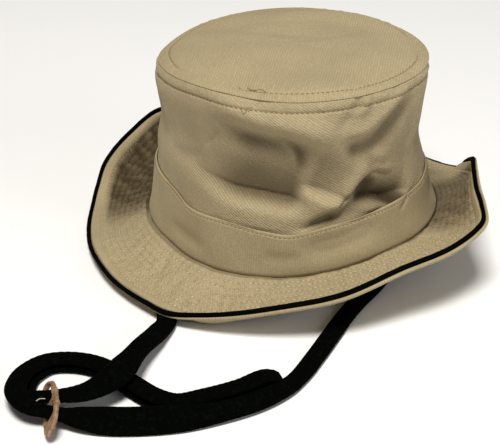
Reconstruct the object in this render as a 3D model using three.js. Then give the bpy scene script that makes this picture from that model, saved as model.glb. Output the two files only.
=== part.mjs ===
// Jungle hat: an oval cotton crown on a wavy quilted brim, with a piped edge, a hat band and a
// flat chin lace that lies on the ground in front, gathered by a leather slide.
// Millimetres, +Z up, the front towards -Y. Angles are in degrees round the crown's axis, from +X
// towards +Y. The ground is z = 0.
import * as THREE from 'three';

// ---- driving dimensions -------------------------------------------------------------------
const CLOTH = 1.8;            // crown cloth with its fusing
const BAND_CLOTH = 1.5;       // doubled cloth of the hat band
const BAND_GAP = 0.45;        // between the band and the side that it lies on
const GAP = 0.3;              // between pieces that touch
const BRIM_TOP = 0.5;         // brim's upper face above its middle line
const BRIM_UNDER = 2.2;       // brim's under face below its middle line
const PIPING_RADIUS = 1.6;
const PIPING_SEAT = 2.1;      // radius of the hollow in the brim's edge that the piping lies in
const TIP_LEVEL = 122.5;      // the tip's middle, before it domes
const TIP_DOME = 3.5;         // how far the tip's middle stands above that
const LACE_WIDTH = 12;
const LACE_THICKNESS = 4;

// How finely the pieces are cut into sections, and their rows of points at shares of each section.
const CROWN_TURNS = 76;
const BRIM_TURNS = 90;
const LACE_STEPS = 80;
const TIP_ROWS = [0.35, 0.7, 0.92, 1];
const BAND_ROWS = [0, 0.33, 0.67, 1];
const SIDE_ROWS = {
  outer: [0.14, 0.28, 0.42, 0.56, 0.7, 0.85, 1],
  inner: [1, 0.84, 0.66, 0.48, 0.3, 0.12, 0],
};
const BRIM_ROWS = { upper: [0.86, 0.72, 0.58, 0.42, 0.25, 0.08], under: [0.12, 0.35, 0.55, 0.72, 0.86] };
const SLIDE = {
  length: 44.5, width: 15.2, thickness: 2.2, forward: 4.8, slotLength: 14.2, slotWidth: 8.6,
  slotAt: 7.95, lean: 30,
};

// How high the crown's parts stand at each angle: the crown seam on the brim, the band's top edge
// and the seam between side and tip.
const CROWN = [
  { angle: 0, base: 22, bandTop: 50, seam: 121.5 },
  { angle: 30, base: 20, bandTop: 49, seam: 120 },
  { angle: 60, base: 17, bandTop: 47, seam: 119.6 },
  { angle: 90, base: 15, bandTop: 46, seam: 119.8 },
  { angle: 135, base: 16, bandTop: 48, seam: 118 },
  { angle: 170, base: 16.5, bandTop: 52, seam: 119 },
  { angle: 200, base: 16.5, bandTop: 53.5, seam: 122.5 },
  { angle: 217, base: 16.5, bandTop: 51.5, seam: 124 },
  { angle: 227, base: 13.8, bandTop: 46, seam: 125 },
  { angle: 243, base: 12.5, bandTop: 45.5, seam: 125.3 },
  { angle: 260, base: 13.3, bandTop: 43, seam: 124.3 },
  { angle: 270, base: 14.3, bandTop: 41.7, seam: 124 },
  { angle: 284, base: 17.2, bandTop: 46.5, seam: 124.3 },
  { angle: 296, base: 20, bandTop: 48.5, seam: 124.4 },
  { angle: 308, base: 22.3, bandTop: 50.5, seam: 124.5 },
  { angle: 325, base: 22, bandTop: 50.5, seam: 124 },
  { angle: 342, base: 21.8, bandTop: 49.8, seam: 122.8 },
];

// The crown's outline in four directions, at shares of the way from its base to its seam.
const PROFILE = [
  { share: 0, left: 92.2, right: 92.6, front: 96.5, back: 96 },
  { share: 0.15, left: 89.2, right: 86.8, front: 95.2, back: 94.5 },
  { share: 0.32, left: 87.4, right: 84, front: 93.8, back: 93 },
  { share: 0.5, left: 87.2, right: 80.2, front: 92.4, back: 91.5 },
  { share: 0.66, left: 84.6, right: 82, front: 91, back: 90.5 },
  { share: 0.8, left: 87, right: 83.6, front: 90.5, back: 90.3 },
  { share: 0.9, left: 88.8, right: 84.8, front: 91, back: 90.8 },
  { share: 1, left: 86.6, right: 84.2, front: 90.6, back: 90.6 },
];

// At the back left the crown's top edge is drawn in: where, over how many degrees and over what
// share of the height, and how deep.
const PINCH = { angle: 160, turn: 26, share: 0.22, depth: 4 };

// Dents in the crown's side: where, half their length and half their breadth, how their length
// leans from level, and how deep they go (a negative depth is a fold that stands out).
const DENTS = [
  { angle: 258, height: 92, long: 44, short: 13, lean: -18, depth: 4 },
  { angle: 312, height: 60, long: 22, short: 9, lean: 12, depth: 6 },
  { angle: 273, height: 55, long: 14, short: 7, lean: 60, depth: 3 },
  { angle: 310, height: 92, long: 24, short: 8, lean: 40, depth: -2 },
  { angle: 216, height: 84, long: 18, short: 8, lean: 5, depth: 2 },
];

const SAG_SKEW = 1.5;         // over 1, the brim sags most nearer its edge

// The brim's edge: how far out and how high it runs, and how deep the cloth sags between the crown
// and the edge.
const BRIM = [
  { angle: 4, reach: 117, rise: 47, sag: 6 },
  { angle: 14, reach: 120, rise: 36.5, sag: 5 },
  { angle: 24, reach: 128, rise: 24, sag: 4 },
  { angle: 31, reach: 138, rise: 12, sag: 3.5 },
  { angle: 40, reach: 141.5, rise: 4.5, sag: 3.2 },
  { angle: 52, reach: 144, rise: 2.1, sag: 3.3 },
  { angle: 72, reach: 145, rise: 2.1, sag: 3.1 },
  { angle: 90, reach: 146, rise: 2.1, sag: 2.9 },
  { angle: 108, reach: 146, rise: 11, sag: 4 },
  { angle: 120, reach: 145, rise: 25, sag: 6 },
  { angle: 131, reach: 143.5, rise: 38.5, sag: 7 },
  { angle: 143, reach: 144.5, rise: 29, sag: 7 },
  { angle: 155, reach: 144, rise: 17, sag: 5 },
  { angle: 163, reach: 140.5, rise: 6.5, sag: 3.5 },
  { angle: 173, reach: 136, rise: 2.2, sag: 3.4 },
  { angle: 187, reach: 134, rise: 2.2, sag: 3.2 },
  { angle: 197, reach: 135, rise: 4.8, sag: 3 },
  { angle: 209, reach: 138, rise: 7.5, sag: 3.5 },
  { angle: 222, reach: 142.5, rise: 7.4, sag: 3 },
  { angle: 234, reach: 147, rise: 7.9, sag: 1.6 },
  { angle: 241, reach: 150, rise: 7.9, sag: 0.8 },
  { angle: 249, reach: 148.5, rise: 10.8, sag: 11 },
  { angle: 257, reach: 147.5, rise: 15, sag: 8.6 },
  { angle: 268, reach: 147.5, rise: 22, sag: 5.8 },
  { angle: 281, reach: 147, rise: 28.4, sag: 5 },
  { angle: 296, reach: 143.5, rise: 37.8, sag: 4.8 },
  { angle: 310, reach: 144, rise: 42, sag: 4.8 },
  { angle: 319, reach: 143.5, rise: 45.5, sag: 5 },
  { angle: 324, reach: 141.5, rise: 48, sag: 5.5 },
  { angle: 329, reach: 133.5, rise: 51.5, sag: 6.5 },
  { angle: 335, reach: 124.5, rise: 55, sag: 6.5 },
  { angle: 343, reach: 118, rise: 58.5, sag: 6 },
  { angle: 352, reach: 115.5, rise: 57, sag: 6 },
];

// The lace's middle line, from under the brim's root at the left, along the ground in front, through
// the slide, round its hanging loop to the fold, back through the slide and to the right-hand root.
// A row's fourth number is how many degrees the lace is rolled there, its further edge up.
const FLOOR_LAYER = LACE_THICKNESS / 2 + 0.35;
const UPPER_LAYER = FLOOR_LAYER + LACE_THICKNESS + 0.8;
const SLOT_HEIGHT = 7.2;      // where both strands pass through the slide
const LACE = [
  [-90, -6, 10.5], [-90.5, -22, 8.5], [-88.5, -42, 4.2], [-84.5, -70, FLOOR_LAYER],
  [-77.5, -104, FLOOR_LAYER], [-72.5, -131, 2.9, 4], [-76, -152, 6.8, 24], [-83, -176, 11.6, 22],
  [-88.5, -195, 13.6, 12], [-95, -210.5, 13, 10], [-108, -219.5, 9.8, 2],
  [-127.4, -220.8, SLOT_HEIGHT], [-137, -219.5, 5.9], [-143, -210, 2.9], [-142.5, -197, FLOOR_LAYER],
  [-134, -184.5, FLOOR_LAYER], [-122, -182, FLOOR_LAYER], [-108, -185.5, FLOOR_LAYER],
  [-95, -195.5, FLOOR_LAYER], [-83.5, -207, FLOOR_LAYER], [-72, -217, FLOOR_LAYER],
  [-60, -221.5, FLOOR_LAYER], [-45, -216, FLOOR_LAYER], [-27, -206.5, FLOOR_LAYER],
  [-12, -198.5, FLOOR_LAYER], [-5.5, -196, 4.75], [-12, -198.5, 8.5], [-27, -207.5, UPPER_LAYER],
  [-45, -217, UPPER_LAYER], [-60, -222.5, UPPER_LAYER], [-72, -217.5, UPPER_LAYER],
  [-83.5, -207, UPPER_LAYER], [-95, -195.5, UPPER_LAYER], [-108, -185.5, UPPER_LAYER],
  [-122, -182, UPPER_LAYER], [-135, -184.5, UPPER_LAYER], [-144, -195, 7.3], [-147, -208.5, 8.3],
  [-145.5, -222, 9.4], [-137.5, -233.2, 9], [-124.5, -236.3, SLOT_HEIGHT], [-109, -239, 6.2, 16],
  [-92, -240.5, 5.3, 30], [-70, -239, 5.3, 30], [-46.5, -234, 5.3, 30], [-21, -221.5, 5.2, 28],
  [-4.5, -206, 4, 14], [5, -190, FLOOR_LAYER], [14, -169, FLOOR_LAYER], [29.5, -129, FLOOR_LAYER],
  [38, -110, 2.7], [49, -94, 5.6], [60, -79, 11.2], [69, -64, 14.6], [78, -46, 15.6],
  [86, -28, 15.9], [91, -12, 16.2],
];

// ---- curves from the tables ---------------------------------------------------------------
const cosine = (angle) => Math.cos(THREE.MathUtils.degToRad(angle));
const sine = (angle) => Math.sin(THREE.MathUtils.degToRad(angle));

// A smooth curve through three neighbours' slopes (cubic Hermite) between two table rows.
function between(before, from, to, after, key, column, at) {
  const slope = (a, b) => (b[column] - a[column]) / (b[key] - a[key] || 1);
  const span = to[key] - from[key];
  const u = (at - from[key]) / span;
  const start = slope(before, to) * span;
  const end = slope(from, after) * span;
  return (2 * u ** 3 - 3 * u ** 2 + 1) * from[column] + (u ** 3 - 2 * u ** 2 + u) * start
    + (3 * u ** 2 - 2 * u ** 3) * to[column] + (u ** 3 - u ** 2) * end;
}

// The column's value at an angle: the table's rows go once round the crown.
function around(table, column, angle) {
  const at = ((angle % 360) + 360) % 360;
  const turn = (row, turns) => ({ ...row, angle: row.angle + 360 * turns });
  const count = table.length;
  const rows = [
    ...table.slice(count - 2).map((row) => turn(row, -1)),
    ...table,
    ...table.slice(0, 2).map((row) => turn(row, 1)),
  ];
  let next = rows.findIndex((row) => row.angle > at);
  next = THREE.MathUtils.clamp(next, 2, rows.length - 2);
  return between(rows[next - 2], rows[next - 1], rows[next], rows[next + 1], 'angle', column, at);
}

// The column's value at a share of the way up the crown.
function upward(column, share) {
  const next = Math.max(1, PROFILE.findIndex((row) => row.share >= share));
  const row = (index) => PROFILE[THREE.MathUtils.clamp(index, 0, PROFILE.length - 1)];
  return between(row(next - 2), row(next - 1), row(next), row(next + 1), 'share', column, share);
}

const point = (angle, radius, height) =>
  new THREE.Vector3(radius * cosine(angle), radius * sine(angle), height);

function dentDepth(angle, height) {
  return DENTS.reduce((depth, dent) => {
    const turn = ((angle - dent.angle + 540) % 360) - 180;
    const across = THREE.MathUtils.degToRad(turn) * PROFILE[3].front;
    const up = height - dent.height;
    const along = (across * cosine(dent.lean) + up * sine(dent.lean)) / dent.long;
    const beside = (up * cosine(dent.lean) - across * sine(dent.lean)) / dent.short;
    return depth + dent.depth * Math.exp(-(along ** 2) - beside ** 2);
  }, 0);
}

// The crown side's outer face at an angle and a share of the way up, without its dents.
function crownOutline(angle, share) {
  const sideways = upward(cosine(angle) > 0 ? 'right' : 'left', share);
  const deep = upward(sine(angle) > 0 ? 'back' : 'front', share);
  const turn = (((angle - PINCH.angle + 540) % 360) - 180) / PINCH.turn;
  const pinch = PINCH.depth * Math.exp(-(turn ** 2) - ((1 - share) / PINCH.share) ** 2);
  return 1 / Math.hypot(cosine(angle) / sideways, sine(angle) / deep) - pinch;
}

// The crown side's outer face: its radius and height, moved in by the dents.
function crownFace(angle, share) {
  const base = around(CROWN, 'base', angle);
  const height = base + share * (around(CROWN, 'seam', angle) - base);
  return { radius: crownOutline(angle, share) - dentDepth(angle, height), height };
}

// ---- closed meshes ------------------------------------------------------------------------
function closedMesh(points, faces) {
  const geometry = new THREE.BufferGeometry();
  geometry.setAttribute('position', new THREE.Float32BufferAttribute(points.flatMap((p) => p.toArray()), 3));
  geometry.setIndex(faces);
  geometry.computeVertexNormals();
  return geometry;
}

// A ring that closes on itself: section(angle) gives the same number of points at every angle,
// going round the section with the outside on the left.
function ring(section, turns) {
  const sections = Array.from({ length: turns }, (_, i) => section((360 * i) / turns));
  const count = sections[0].length;
  const faces = [];
  for (let i = 0; i < turns; i++) {
    const j = (i + 1) % turns;
    for (let k = 0; k < count; k++) {
      const l = (k + 1) % count;
      faces.push(i * count + k, j * count + k, j * count + l);
      faces.push(i * count + k, j * count + l, i * count + l);
    }
  }
  return closedMesh(sections.flat(), faces);
}

// A disc of rings between two middle points: line(angle) runs from near the top's middle over the
// rim to near the bottom's middle.
function disc(topMiddle, line, bottomMiddle, turns) {
  const lines = Array.from({ length: turns }, (_, i) => line((360 * i) / turns));
  const count = lines[0].length;
  const points = [topMiddle, bottomMiddle, ...lines.flat()];
  const at = (i, k) => 2 + (i % turns) * count + k;
  const faces = [];
  for (let i = 0; i < turns; i++) {
    faces.push(0, at(i, 0), at(i + 1, 0));
    for (let k = 0; k < count - 1; k++) {
      faces.push(at(i, k), at(i, k + 1), at(i + 1, k + 1));
      faces.push(at(i, k), at(i + 1, k + 1), at(i + 1, k));
    }
    faces.push(1, at(i + 1, count - 1), at(i, count - 1));
  }
  return closedMesh(points, faces);
}

function piece(name, geometry, colour, roughness) {
  const material = new THREE.MeshStandardMaterial({ color: colour, roughness, metalness: 0 });
  const mesh = new THREE.Mesh(geometry, material);
  mesh.name = name;
  return mesh;
}

const KHAKI = 0xb6a27c;
const BLACK = 0x14130f;
const LEATHER = 0x8f6f52;

// ---- crown --------------------------------------------------------------------------------
// The tip: a flat oval that domes a little, lying on the side's top edge.
function crownTip() {
  const height = (angle, t) => around(CROWN, 'seam', angle) * t * t + (1 - t * t) * TIP_LEVEL;
  const face = (angle, t, lift) =>
    point(angle, crownFace(angle, 1).radius * t, height(angle, t) + TIP_DOME * (1 - t ** 3) + lift);
  const line = (angle) => [
    ...TIP_ROWS.map((t) => face(angle, t, GAP + CLOTH)),
    ...TIP_ROWS.toReversed().map((t) => face(angle, t, GAP)),
  ];
  const middle = (lift) => new THREE.Vector3(0, 0, TIP_LEVEL + TIP_DOME + lift);
  return disc(middle(GAP + CLOTH), line, middle(GAP), CROWN_TURNS);
}

// The share of the way up the crown's side where the band's top edge lies.
function bandShare(angle) {
  const base = around(CROWN, 'base', angle);
  return (around(CROWN, 'bandTop', angle) - base) / (around(CROWN, 'seam', angle) - base);
}

// A point of the crown's side, moved square to the axis.
function sideFace(angle, share, outward) {
  const at = crownFace(angle, share);
  return point(angle, at.radius + outward, at.height);
}

// The side: one wall from the brim up to the tip, with its dents. Its rows behind the band are the
// band's own rows.
function crownSide() {
  return ring((angle) => {
    const foot = bandShare(angle);
    return [
      ...BAND_ROWS.map((part) => sideFace(angle, part * foot, 0)),
      ...SIDE_ROWS.outer.map((part) => sideFace(angle, foot + part * (1 - foot), 0)),
      ...SIDE_ROWS.inner.map((share) => sideFace(angle, share, -CLOTH)),
    ];
  }, CROWN_TURNS);
}

// The band: doubled cloth round the crown's foot, from the brim up to its turned top edge.
function hatBand() {
  return ring((angle) => {
    const foot = bandShare(angle);
    return [
      ...BAND_ROWS.map((part) => sideFace(angle, part * foot, BAND_GAP + BAND_CLOTH)),
      ...BAND_ROWS.toReversed().map((part) => sideFace(angle, part * foot, BAND_GAP)),
    ];
  }, CROWN_TURNS);
}

// ---- brim ---------------------------------------------------------------------------------
// The brim's middle line at an angle: t is 0 at the crown's outline and 1 at the edge.
function brimMiddle(angle, t) {
  const start = {
    radius: crownFace(angle, 0).radius + BAND_GAP + BAND_CLOTH,
    height: around(CROWN, 'base', angle) - GAP - BRIM_TOP,
  };
  const out = around(BRIM, 'reach', angle) - start.radius;
  const up = around(BRIM, 'rise', angle) - start.height;
  const sag = around(BRIM, 'sag', angle) * Math.sin(Math.PI * t ** SAG_SKEW);
  const chord = Math.hypot(out, up);
  return {
    radius: start.radius + t * out + (sag * up) / chord,
    height: start.height + t * up - (sag * out) / chord,
  };
}

// A point beside the brim's middle line, square to it in the upright plane through the axis.
// The cloth lies flat where it meets the ground.
function brimFace(angle, t, lift, outward = 0) {
  const step = 0.01;
  const here = brimMiddle(angle, t);
  const from = brimMiddle(angle, Math.max(0, t - step));
  const to = brimMiddle(angle, Math.min(1, t + step));
  const length = Math.hypot(to.radius - from.radius, to.height - from.height);
  const along = (to.radius - from.radius) / length;
  const climb = (to.height - from.height) / length;
  const height = here.height + lift * along + outward * climb;
  return point(angle, here.radius - lift * climb + outward * along, Math.max(0, height));
}

// The brim: two plies of cloth as one wall, which runs in under the crown as far as the crown's
// inner face. Its upper ply stops at the piping and its under ply runs on below it.
function brim() {
  return ring((angle) => {
    const root = crownFace(angle, 0).radius;
    const base = around(CROWN, 'base', angle) - GAP;
    return [
      ...BRIM_ROWS.under.map((t) => brimFace(angle, t, -BRIM_UNDER)),
      ...[15, 45, 75].map((a) => brimFace(angle, 1, -PIPING_SEAT * cosine(a), -PIPING_SEAT * sine(a))),
      brimFace(angle, 1, BRIM_TOP, -PIPING_SEAT),
      ...BRIM_ROWS.upper.map((t) => brimFace(angle, t, BRIM_TOP)),
      point(angle, root + BAND_GAP + BAND_CLOTH, base),
      point(angle, root - CLOTH, base),
      point(angle, root - CLOTH, base - BRIM_TOP - BRIM_UNDER),
    ];
  }, BRIM_TURNS);
}

// The piping: a cord in a strip of cloth, all round the brim's edge.
function edgePiping() {
  return ring((angle) => Array.from({ length: 6 }, (_, i) => {
    const reach = around(BRIM, 'reach', angle);
    const rise = around(BRIM, 'rise', angle);
    return point(angle, reach + PIPING_RADIUS * cosine(60 * i), rise + PIPING_RADIUS * sine(60 * i));
  }), BRIM_TURNS);
}

// ---- chin lace and slide ------------------------------------------------------------------
// A flat oval outline, its thickness along x and its width along y.
function laceSection() {
  const corner = 0.3 * LACE_THICKNESS;
  const [x, y] = [LACE_THICKNESS / 2, LACE_WIDTH / 2];
  const outline = [
    [x, 2 * corner - y], [x, y - 2 * corner], [x - corner, y], [corner - x, y],
    [-x, y - 2 * corner], [-x, 2 * corner - y], [corner - x, -y], [x - corner, -y],
  ];
  return new THREE.Shape(outline.map(([a, b]) => new THREE.Vector2(a, b)));
}

// How far the lace is rolled, in radians, at a share of the way through the table's rows.
function laceRoll(t) {
  const at = t * (LACE.length - 1);
  const row = Math.min(Math.floor(at), LACE.length - 2);
  const [from, to] = [LACE[row][3] ?? 0, LACE[row + 1][3] ?? 0];
  return THREE.MathUtils.degToRad(from + (to - from) * THREE.MathUtils.smoothstep(at - row, 0, 1));
}

// Frames that keep the lace's width level, also where it turns over in its fold, and roll it where
// the table says so.
function levelFrames(route, steps) {
  const frames = { tangents: [], normals: [], binormals: [] };
  let last = null;
  for (let i = 0; i <= steps; i++) {
    const tangent = route.getTangentAt(i / steps);
    const wide = new THREE.Vector3(0, 0, 1).cross(tangent);
    last ??= wide.clone();
    if (wide.length() < 0.3) wide.copy(last).projectOnPlane(tangent);
    if (wide.dot(last) < 0) wide.negate();
    last = wide.normalize().clone();
    const up = wide.clone().cross(tangent);
    const roll = laceRoll(route.getUtoTmapping(i / steps)) * Math.sign(up.z);
    wide.applyAxisAngle(tangent, roll);
    frames.tangents.push(tangent);
    frames.binormals.push(wide);
    frames.normals.push(wide.clone().cross(tangent));
  }
  return frames;
}

function chinLace() {
  const route = new THREE.CatmullRomCurve3(LACE.map((at) => new THREE.Vector3(at[0], at[1], at[2])), false, 'centripetal');
  route.arcLengthDivisions = 2000;
  route.computeFrenetFrames = (steps) => levelFrames(route, steps);
  return new THREE.ExtrudeGeometry(laceSection(), { steps: LACE_STEPS, extrudePath: route });
}

// The slide: a leather tab with two slots, lying across both strands and leaning on them.
function laceSlide() {
  const slot = (middle) => {
    const bow = 0.5;          // the slots are cut by hand: they bow a little and don't quite line up
    const skew = 0.02;
    const [x, y] = [SLIDE.slotLength / 2, SLIDE.slotWidth / 2];
    const corners = [[-x, bow - y], [-x, y - bow], [0, y], [x, y - bow], [x, bow - y], [0, -y]];
    return new THREE.Path(corners.map(([a, b]) => new THREE.Vector2(middle + a, b + skew * middle)));
  };
  const straight = SLIDE.length / 2 - SLIDE.width / 2;
  const outline = new THREE.Shape();
  outline.absarc(straight, 0, SLIDE.width / 2, -Math.PI / 2, Math.PI / 2, false);
  outline.absarc(-straight, 0, SLIDE.width / 2, Math.PI / 2, 1.5 * Math.PI, false);
  outline.holes.push(slot(-SLIDE.slotAt - SLIDE.forward), slot(SLIDE.slotAt - SLIDE.forward));
  const settings = { depth: SLIDE.thickness, bevelEnabled: false, curveSegments: 8 };
  const geometry = new THREE.ExtrudeGeometry(outline, settings);
  geometry.translate(0, 0, -SLIDE.thickness / 2);
  return geometry;
}

function placedSlide() {
  const mesh = piece('lace_slide', laceSlide(), LEATHER, 0.75);
  const [back, front] = LACE.filter((at) => at[2] === SLOT_HEIGHT).map((at) => new THREE.Vector3(...at));
  const along = front.clone().sub(back).normalize();
  const face = new THREE.Vector3(0, 0, 1).cross(along).normalize();
  face.applyAxisAngle(along, THREE.MathUtils.degToRad(-SLIDE.lean));
  const upright = face.clone().cross(along);
  mesh.quaternion.setFromRotationMatrix(new THREE.Matrix4().makeBasis(along, upright, face));
  mesh.position.copy(back).add(front).multiplyScalar(0.5).addScaledVector(along, SLIDE.forward);
  return mesh;
}

// ---- the hat, with the middle of its box over the origin -----------------------------------
const hat = new THREE.Group();
hat.add(
  piece('crown_tip', crownTip(), KHAKI, 0.9),
  piece('crown_side', crownSide(), KHAKI, 0.9),
  piece('hat_band', hatBand(), KHAKI, 0.9),
  piece('brim', brim(), KHAKI, 0.9),
  piece('edge_piping', edgePiping(), BLACK, 0.8),
);
const middle = new THREE.Box3().setFromObject(hat, true).getCenter(new THREE.Vector3());
hat.add(piece('chin_lace', chinLace(), BLACK, 0.85), placedSlide());
hat.position.set(-middle.x, -middle.y, 0);

export default hat;
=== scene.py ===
# %% [markdown]
# # A jungle hat
# A soft cotton sun hat: an oval crown of two cloth parts, a band round its foot, a quilted brim
# that waves, a black piped edge, and a flat chin lace that lies on the table in front, drawn
# together by a small leather slide.
#
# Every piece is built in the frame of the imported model: metres, +Z up, the table at z = 0. The
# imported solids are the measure, and each gets a detailed piece of cloth, braid or leather that
# stands for it.

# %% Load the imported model
import math

import bpy
import numpy as np
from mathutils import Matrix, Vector


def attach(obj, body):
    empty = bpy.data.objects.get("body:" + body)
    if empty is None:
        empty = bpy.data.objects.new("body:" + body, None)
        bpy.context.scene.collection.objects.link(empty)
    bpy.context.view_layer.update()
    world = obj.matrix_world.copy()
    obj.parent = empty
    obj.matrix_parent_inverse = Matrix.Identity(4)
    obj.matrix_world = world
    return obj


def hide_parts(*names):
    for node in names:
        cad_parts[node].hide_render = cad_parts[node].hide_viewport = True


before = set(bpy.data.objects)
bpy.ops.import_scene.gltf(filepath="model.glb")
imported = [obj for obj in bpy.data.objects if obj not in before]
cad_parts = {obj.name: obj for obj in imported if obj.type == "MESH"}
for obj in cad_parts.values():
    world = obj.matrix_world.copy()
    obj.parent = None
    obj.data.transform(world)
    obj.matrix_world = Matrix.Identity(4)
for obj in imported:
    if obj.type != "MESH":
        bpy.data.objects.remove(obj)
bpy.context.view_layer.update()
print("packed nodes:", sorted(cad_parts))

# %% [markdown]
# ## The camera
# The eye stands about 0.9 m in front of the hat and looks down on it at 26 degrees. A long lens
# keeps the verticals of the crown nearly upright. It is made first, because the lace has to lie
# inside its view.

# %% Make the camera
MM = 0.001                                   # the shapes below are worked out in millimetres
HAT_SHIFT = np.array([8.42, 0.7243, 0.0])    # from the crown's axis to the middle of the hat's box
CAMERA_AT = (0.00842, -0.89807, 0.45087)
CAMERA_AIM = (-0.01929, 0.00072, 0.00213)
SENSOR_WIDTH, LENS_LENGTH = 36.0, 109.15    # in mm, about twice a plain lens


def make_camera():
    """A long lens at CAMERA_AT that looks along the line from there to CAMERA_AIM."""
    lens = bpy.data.cameras.new("camera")
    lens.sensor_width, lens.lens = SENSOR_WIDTH, LENS_LENGTH
    lens.clip_start, lens.clip_end = 0.05, 20
    camera = bpy.data.objects.new("camera", lens)
    camera.location = CAMERA_AT
    sight = Vector(CAMERA_AIM) - Vector(CAMERA_AT)
    camera.rotation_euler = sight.to_track_quat("-Z", "Y").to_euler()
    bpy.context.scene.collection.objects.link(camera)
    bpy.context.scene.camera = camera
    return camera


print("camera lens:", make_camera().data.lens, "mm")

# %% [markdown]
# ## From arrays to a mesh
# Each surface here is a function of two parameters. It is worked out as a whole array of points,
# and one helper turns rows and columns of points into faces. A closed ring, such as the brim, has
# a section that goes right round its cloth, so that the cloth has a real thickness.

# %% Mesh helpers
def piece(name, points, faces, uv=None, painted_shade_and_wear=None):
    """A mesh from points in millimetres round the crown's axis. faces is a list of arrays of corner
    numbers, uv gives each face's corners their place on the cloth, and the last argument gives each point
    a share of painted shade, from 0 to 1, which darkens the cloth's colour."""
    mesh = bpy.data.meshes.new(name)
    corners = [corner for array in faces for corner in array.tolist()]
    mesh.from_pydata(((points + HAT_SHIFT) * MM).tolist(), [], corners)
    mesh.polygons.foreach_set("use_smooth", np.ones(len(corners), bool))
    if uv is not None:
        layer = mesh.uv_layers.new(name="cloth_mm")
        layer.data.foreach_set("uv", uv.reshape(-1).astype(np.float32))
    # painted shade: a share at each point that the shaders read to darken the colour
    if painted_shade_and_wear is not None:
        layer = mesh.attributes.new("painted_shade_and_wear", "FLOAT", "POINT")
        layer.data.foreach_set("value", painted_shade_and_wear.reshape(-1).astype(np.float32))
    mesh.update()
    made = bpy.data.objects.new(name, mesh)
    bpy.context.scene.collection.objects.link(made)
    print(f"{name}: {len(points)} points, {len(corners)} faces")
    return made


def quads(rows, columns, around_rows=True, around_columns=True):
    """Corner numbers (row, column) of the faces between neighbours in a grid of points, which may
    close on itself either way. Rows go round the crown and columns go along the section."""
    i = np.arange(rows if around_rows else rows - 1)
    k = np.arange(columns if around_columns else columns - 1)
    i, k = (a.ravel() for a in np.meshgrid(i, k, indexing="ij"))
    return np.stack([i, i + 1, i + 1, i], 1), np.stack([k, k, k + 1, k + 1], 1)


def ring_piece(name, grid, across, along_mm, painted_shade_and_wear=None):
    """A ring whose section closes on itself. grid is (turns, section, 3), across is how far round
    each turn lies, with one more for the end, and along_mm how far along the section each point
    lies, with one more for the end. Both give the pattern its millimetres."""
    turns, count = grid.shape[:2]
    i, k = quads(turns, count)
    faces = (i % turns) * count + k % count
    return piece(name, grid.reshape(-1, 3), [faces], np.stack([across[i], along_mm[k]], 2), painted_shade_and_wear)


def polar(angle, radius, height):
    """Points at an angle in degrees round the crown's axis, from +X towards +Y."""
    turn = np.radians(angle)
    return np.stack(np.broadcast_arrays(radius * np.cos(turn), radius * np.sin(turn), height), -1)


def turn_from(angle, middle):
    """How many degrees an angle lies round from a middle one, from -180 to 180."""
    return (angle - middle + 180) % 360 - 180


def bell(distance, width):
    """A bell-shaped curve: 1 at distance 0 and exp(-1) one width away."""
    return np.exp(-((distance / width) ** 2))


def running_length(line):
    """The distance from a line's first point to each of its points."""
    return np.r_[0, np.cumsum(np.linalg.norm(np.diff(line, axis=0), axis=1))]


# %% [markdown]
# ## Curves from short tables
# The hat's outline is a few dozen listed numbers: how high its parts stand and how far out they reach at
# angles round the crown. Between two rows of a table runs a cubic Hermite curve, whose slope at a row is
# that of the chord between its two neighbours, so the line has no corners.

# %% Tables of the hat's shape
CROWN = {  # the crown's foot on the brim, the band's top edge and the seam under the tip
    "angle": [0, 30, 60, 90, 135, 170, 200, 217, 227, 243, 260, 270, 284, 296, 308, 325, 342],
    "base": [22, 20, 17, 15, 16, 16.5, 16.5, 16.5, 13.8, 12.5, 13.3, 14.3, 17.2, 20, 22.3, 22, 21.8],
    "band_top": [50, 49, 47, 46, 48, 52, 53.5, 51.5, 46, 45.5, 43, 41.7, 46.5, 48.5, 50.5, 50.5, 49.8],
    "seam": [121.5, 120, 119.6, 119.8, 118, 119, 122.5, 124, 125, 125.3, 124.3, 124, 124.3, 124.4,
             124.5, 124, 122.8],
}
PROFILE = {  # the crown's reach in four directions at shares of the way from its foot to its seam
    "share": [0, 0.15, 0.32, 0.5, 0.66, 0.8, 0.9, 1],
    "left": [92.2, 89.2, 87.4, 87.2, 84.6, 87, 88.8, 86.6],
    "right": [92.6, 86.8, 84, 80.2, 82, 83.6, 84.8, 84.2],
    "front": [96.5, 95.2, 93.8, 92.4, 91, 90.5, 91, 90.6],
    "back": [96, 94.5, 93, 91.5, 90.5, 90.3, 90.8, 90.6],
}
PINCH_ANGLE, PINCH_TURN, PINCH_SHARE, PINCH_DEPTH = 160, 26, 0.22, 4   # the top edge drawn in
BRIM_COLUMNS = ("angle", "reach", "rise", "sag")
BRIM_ROWS = [  # how far out and how high the brim's edge runs, and how deep the cloth sags
    (4, 117, 47, 6), (14, 120, 36.5, 5), (24, 128, 24, 4), (31, 138, 12, 3.5),
    (40, 141.5, 4.5, 3.2), (52, 144, 2.1, 3.3), (72, 145, 2.1, 3.1), (90, 146, 2.1, 2.9),
    (108, 146, 11, 4), (120, 145, 25, 6), (131, 143.5, 38.5, 7), (143, 144.5, 29, 7),
    (155, 144, 17, 5), (163, 140.5, 6.5, 3.5), (173, 136, 2.2, 3.4), (187, 134, 2.2, 3.2),
    (197, 135, 4.8, 3), (209, 138, 7.5, 3.5), (222, 142.5, 7.4, 3), (234, 147, 7.9, 1.6),
    (241, 150, 7.9, 0.8), (249, 148.5, 10.8, 11), (257, 147.5, 15, 8.6), (268, 147.5, 22, 5.8),
    (281, 147, 28.4, 5), (296, 143.5, 37.8, 4.8), (310, 144, 42, 4.8), (319, 143.5, 45.5, 5),
    (324, 141.5, 48, 5.5), (329, 133.5, 51.5, 6.5), (335, 124.5, 55, 6.5), (343, 118, 58.5, 6),
    (352, 115.5, 57, 6),
]
BRIM = dict(zip(BRIM_COLUMNS, zip(*BRIM_ROWS)))


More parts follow.
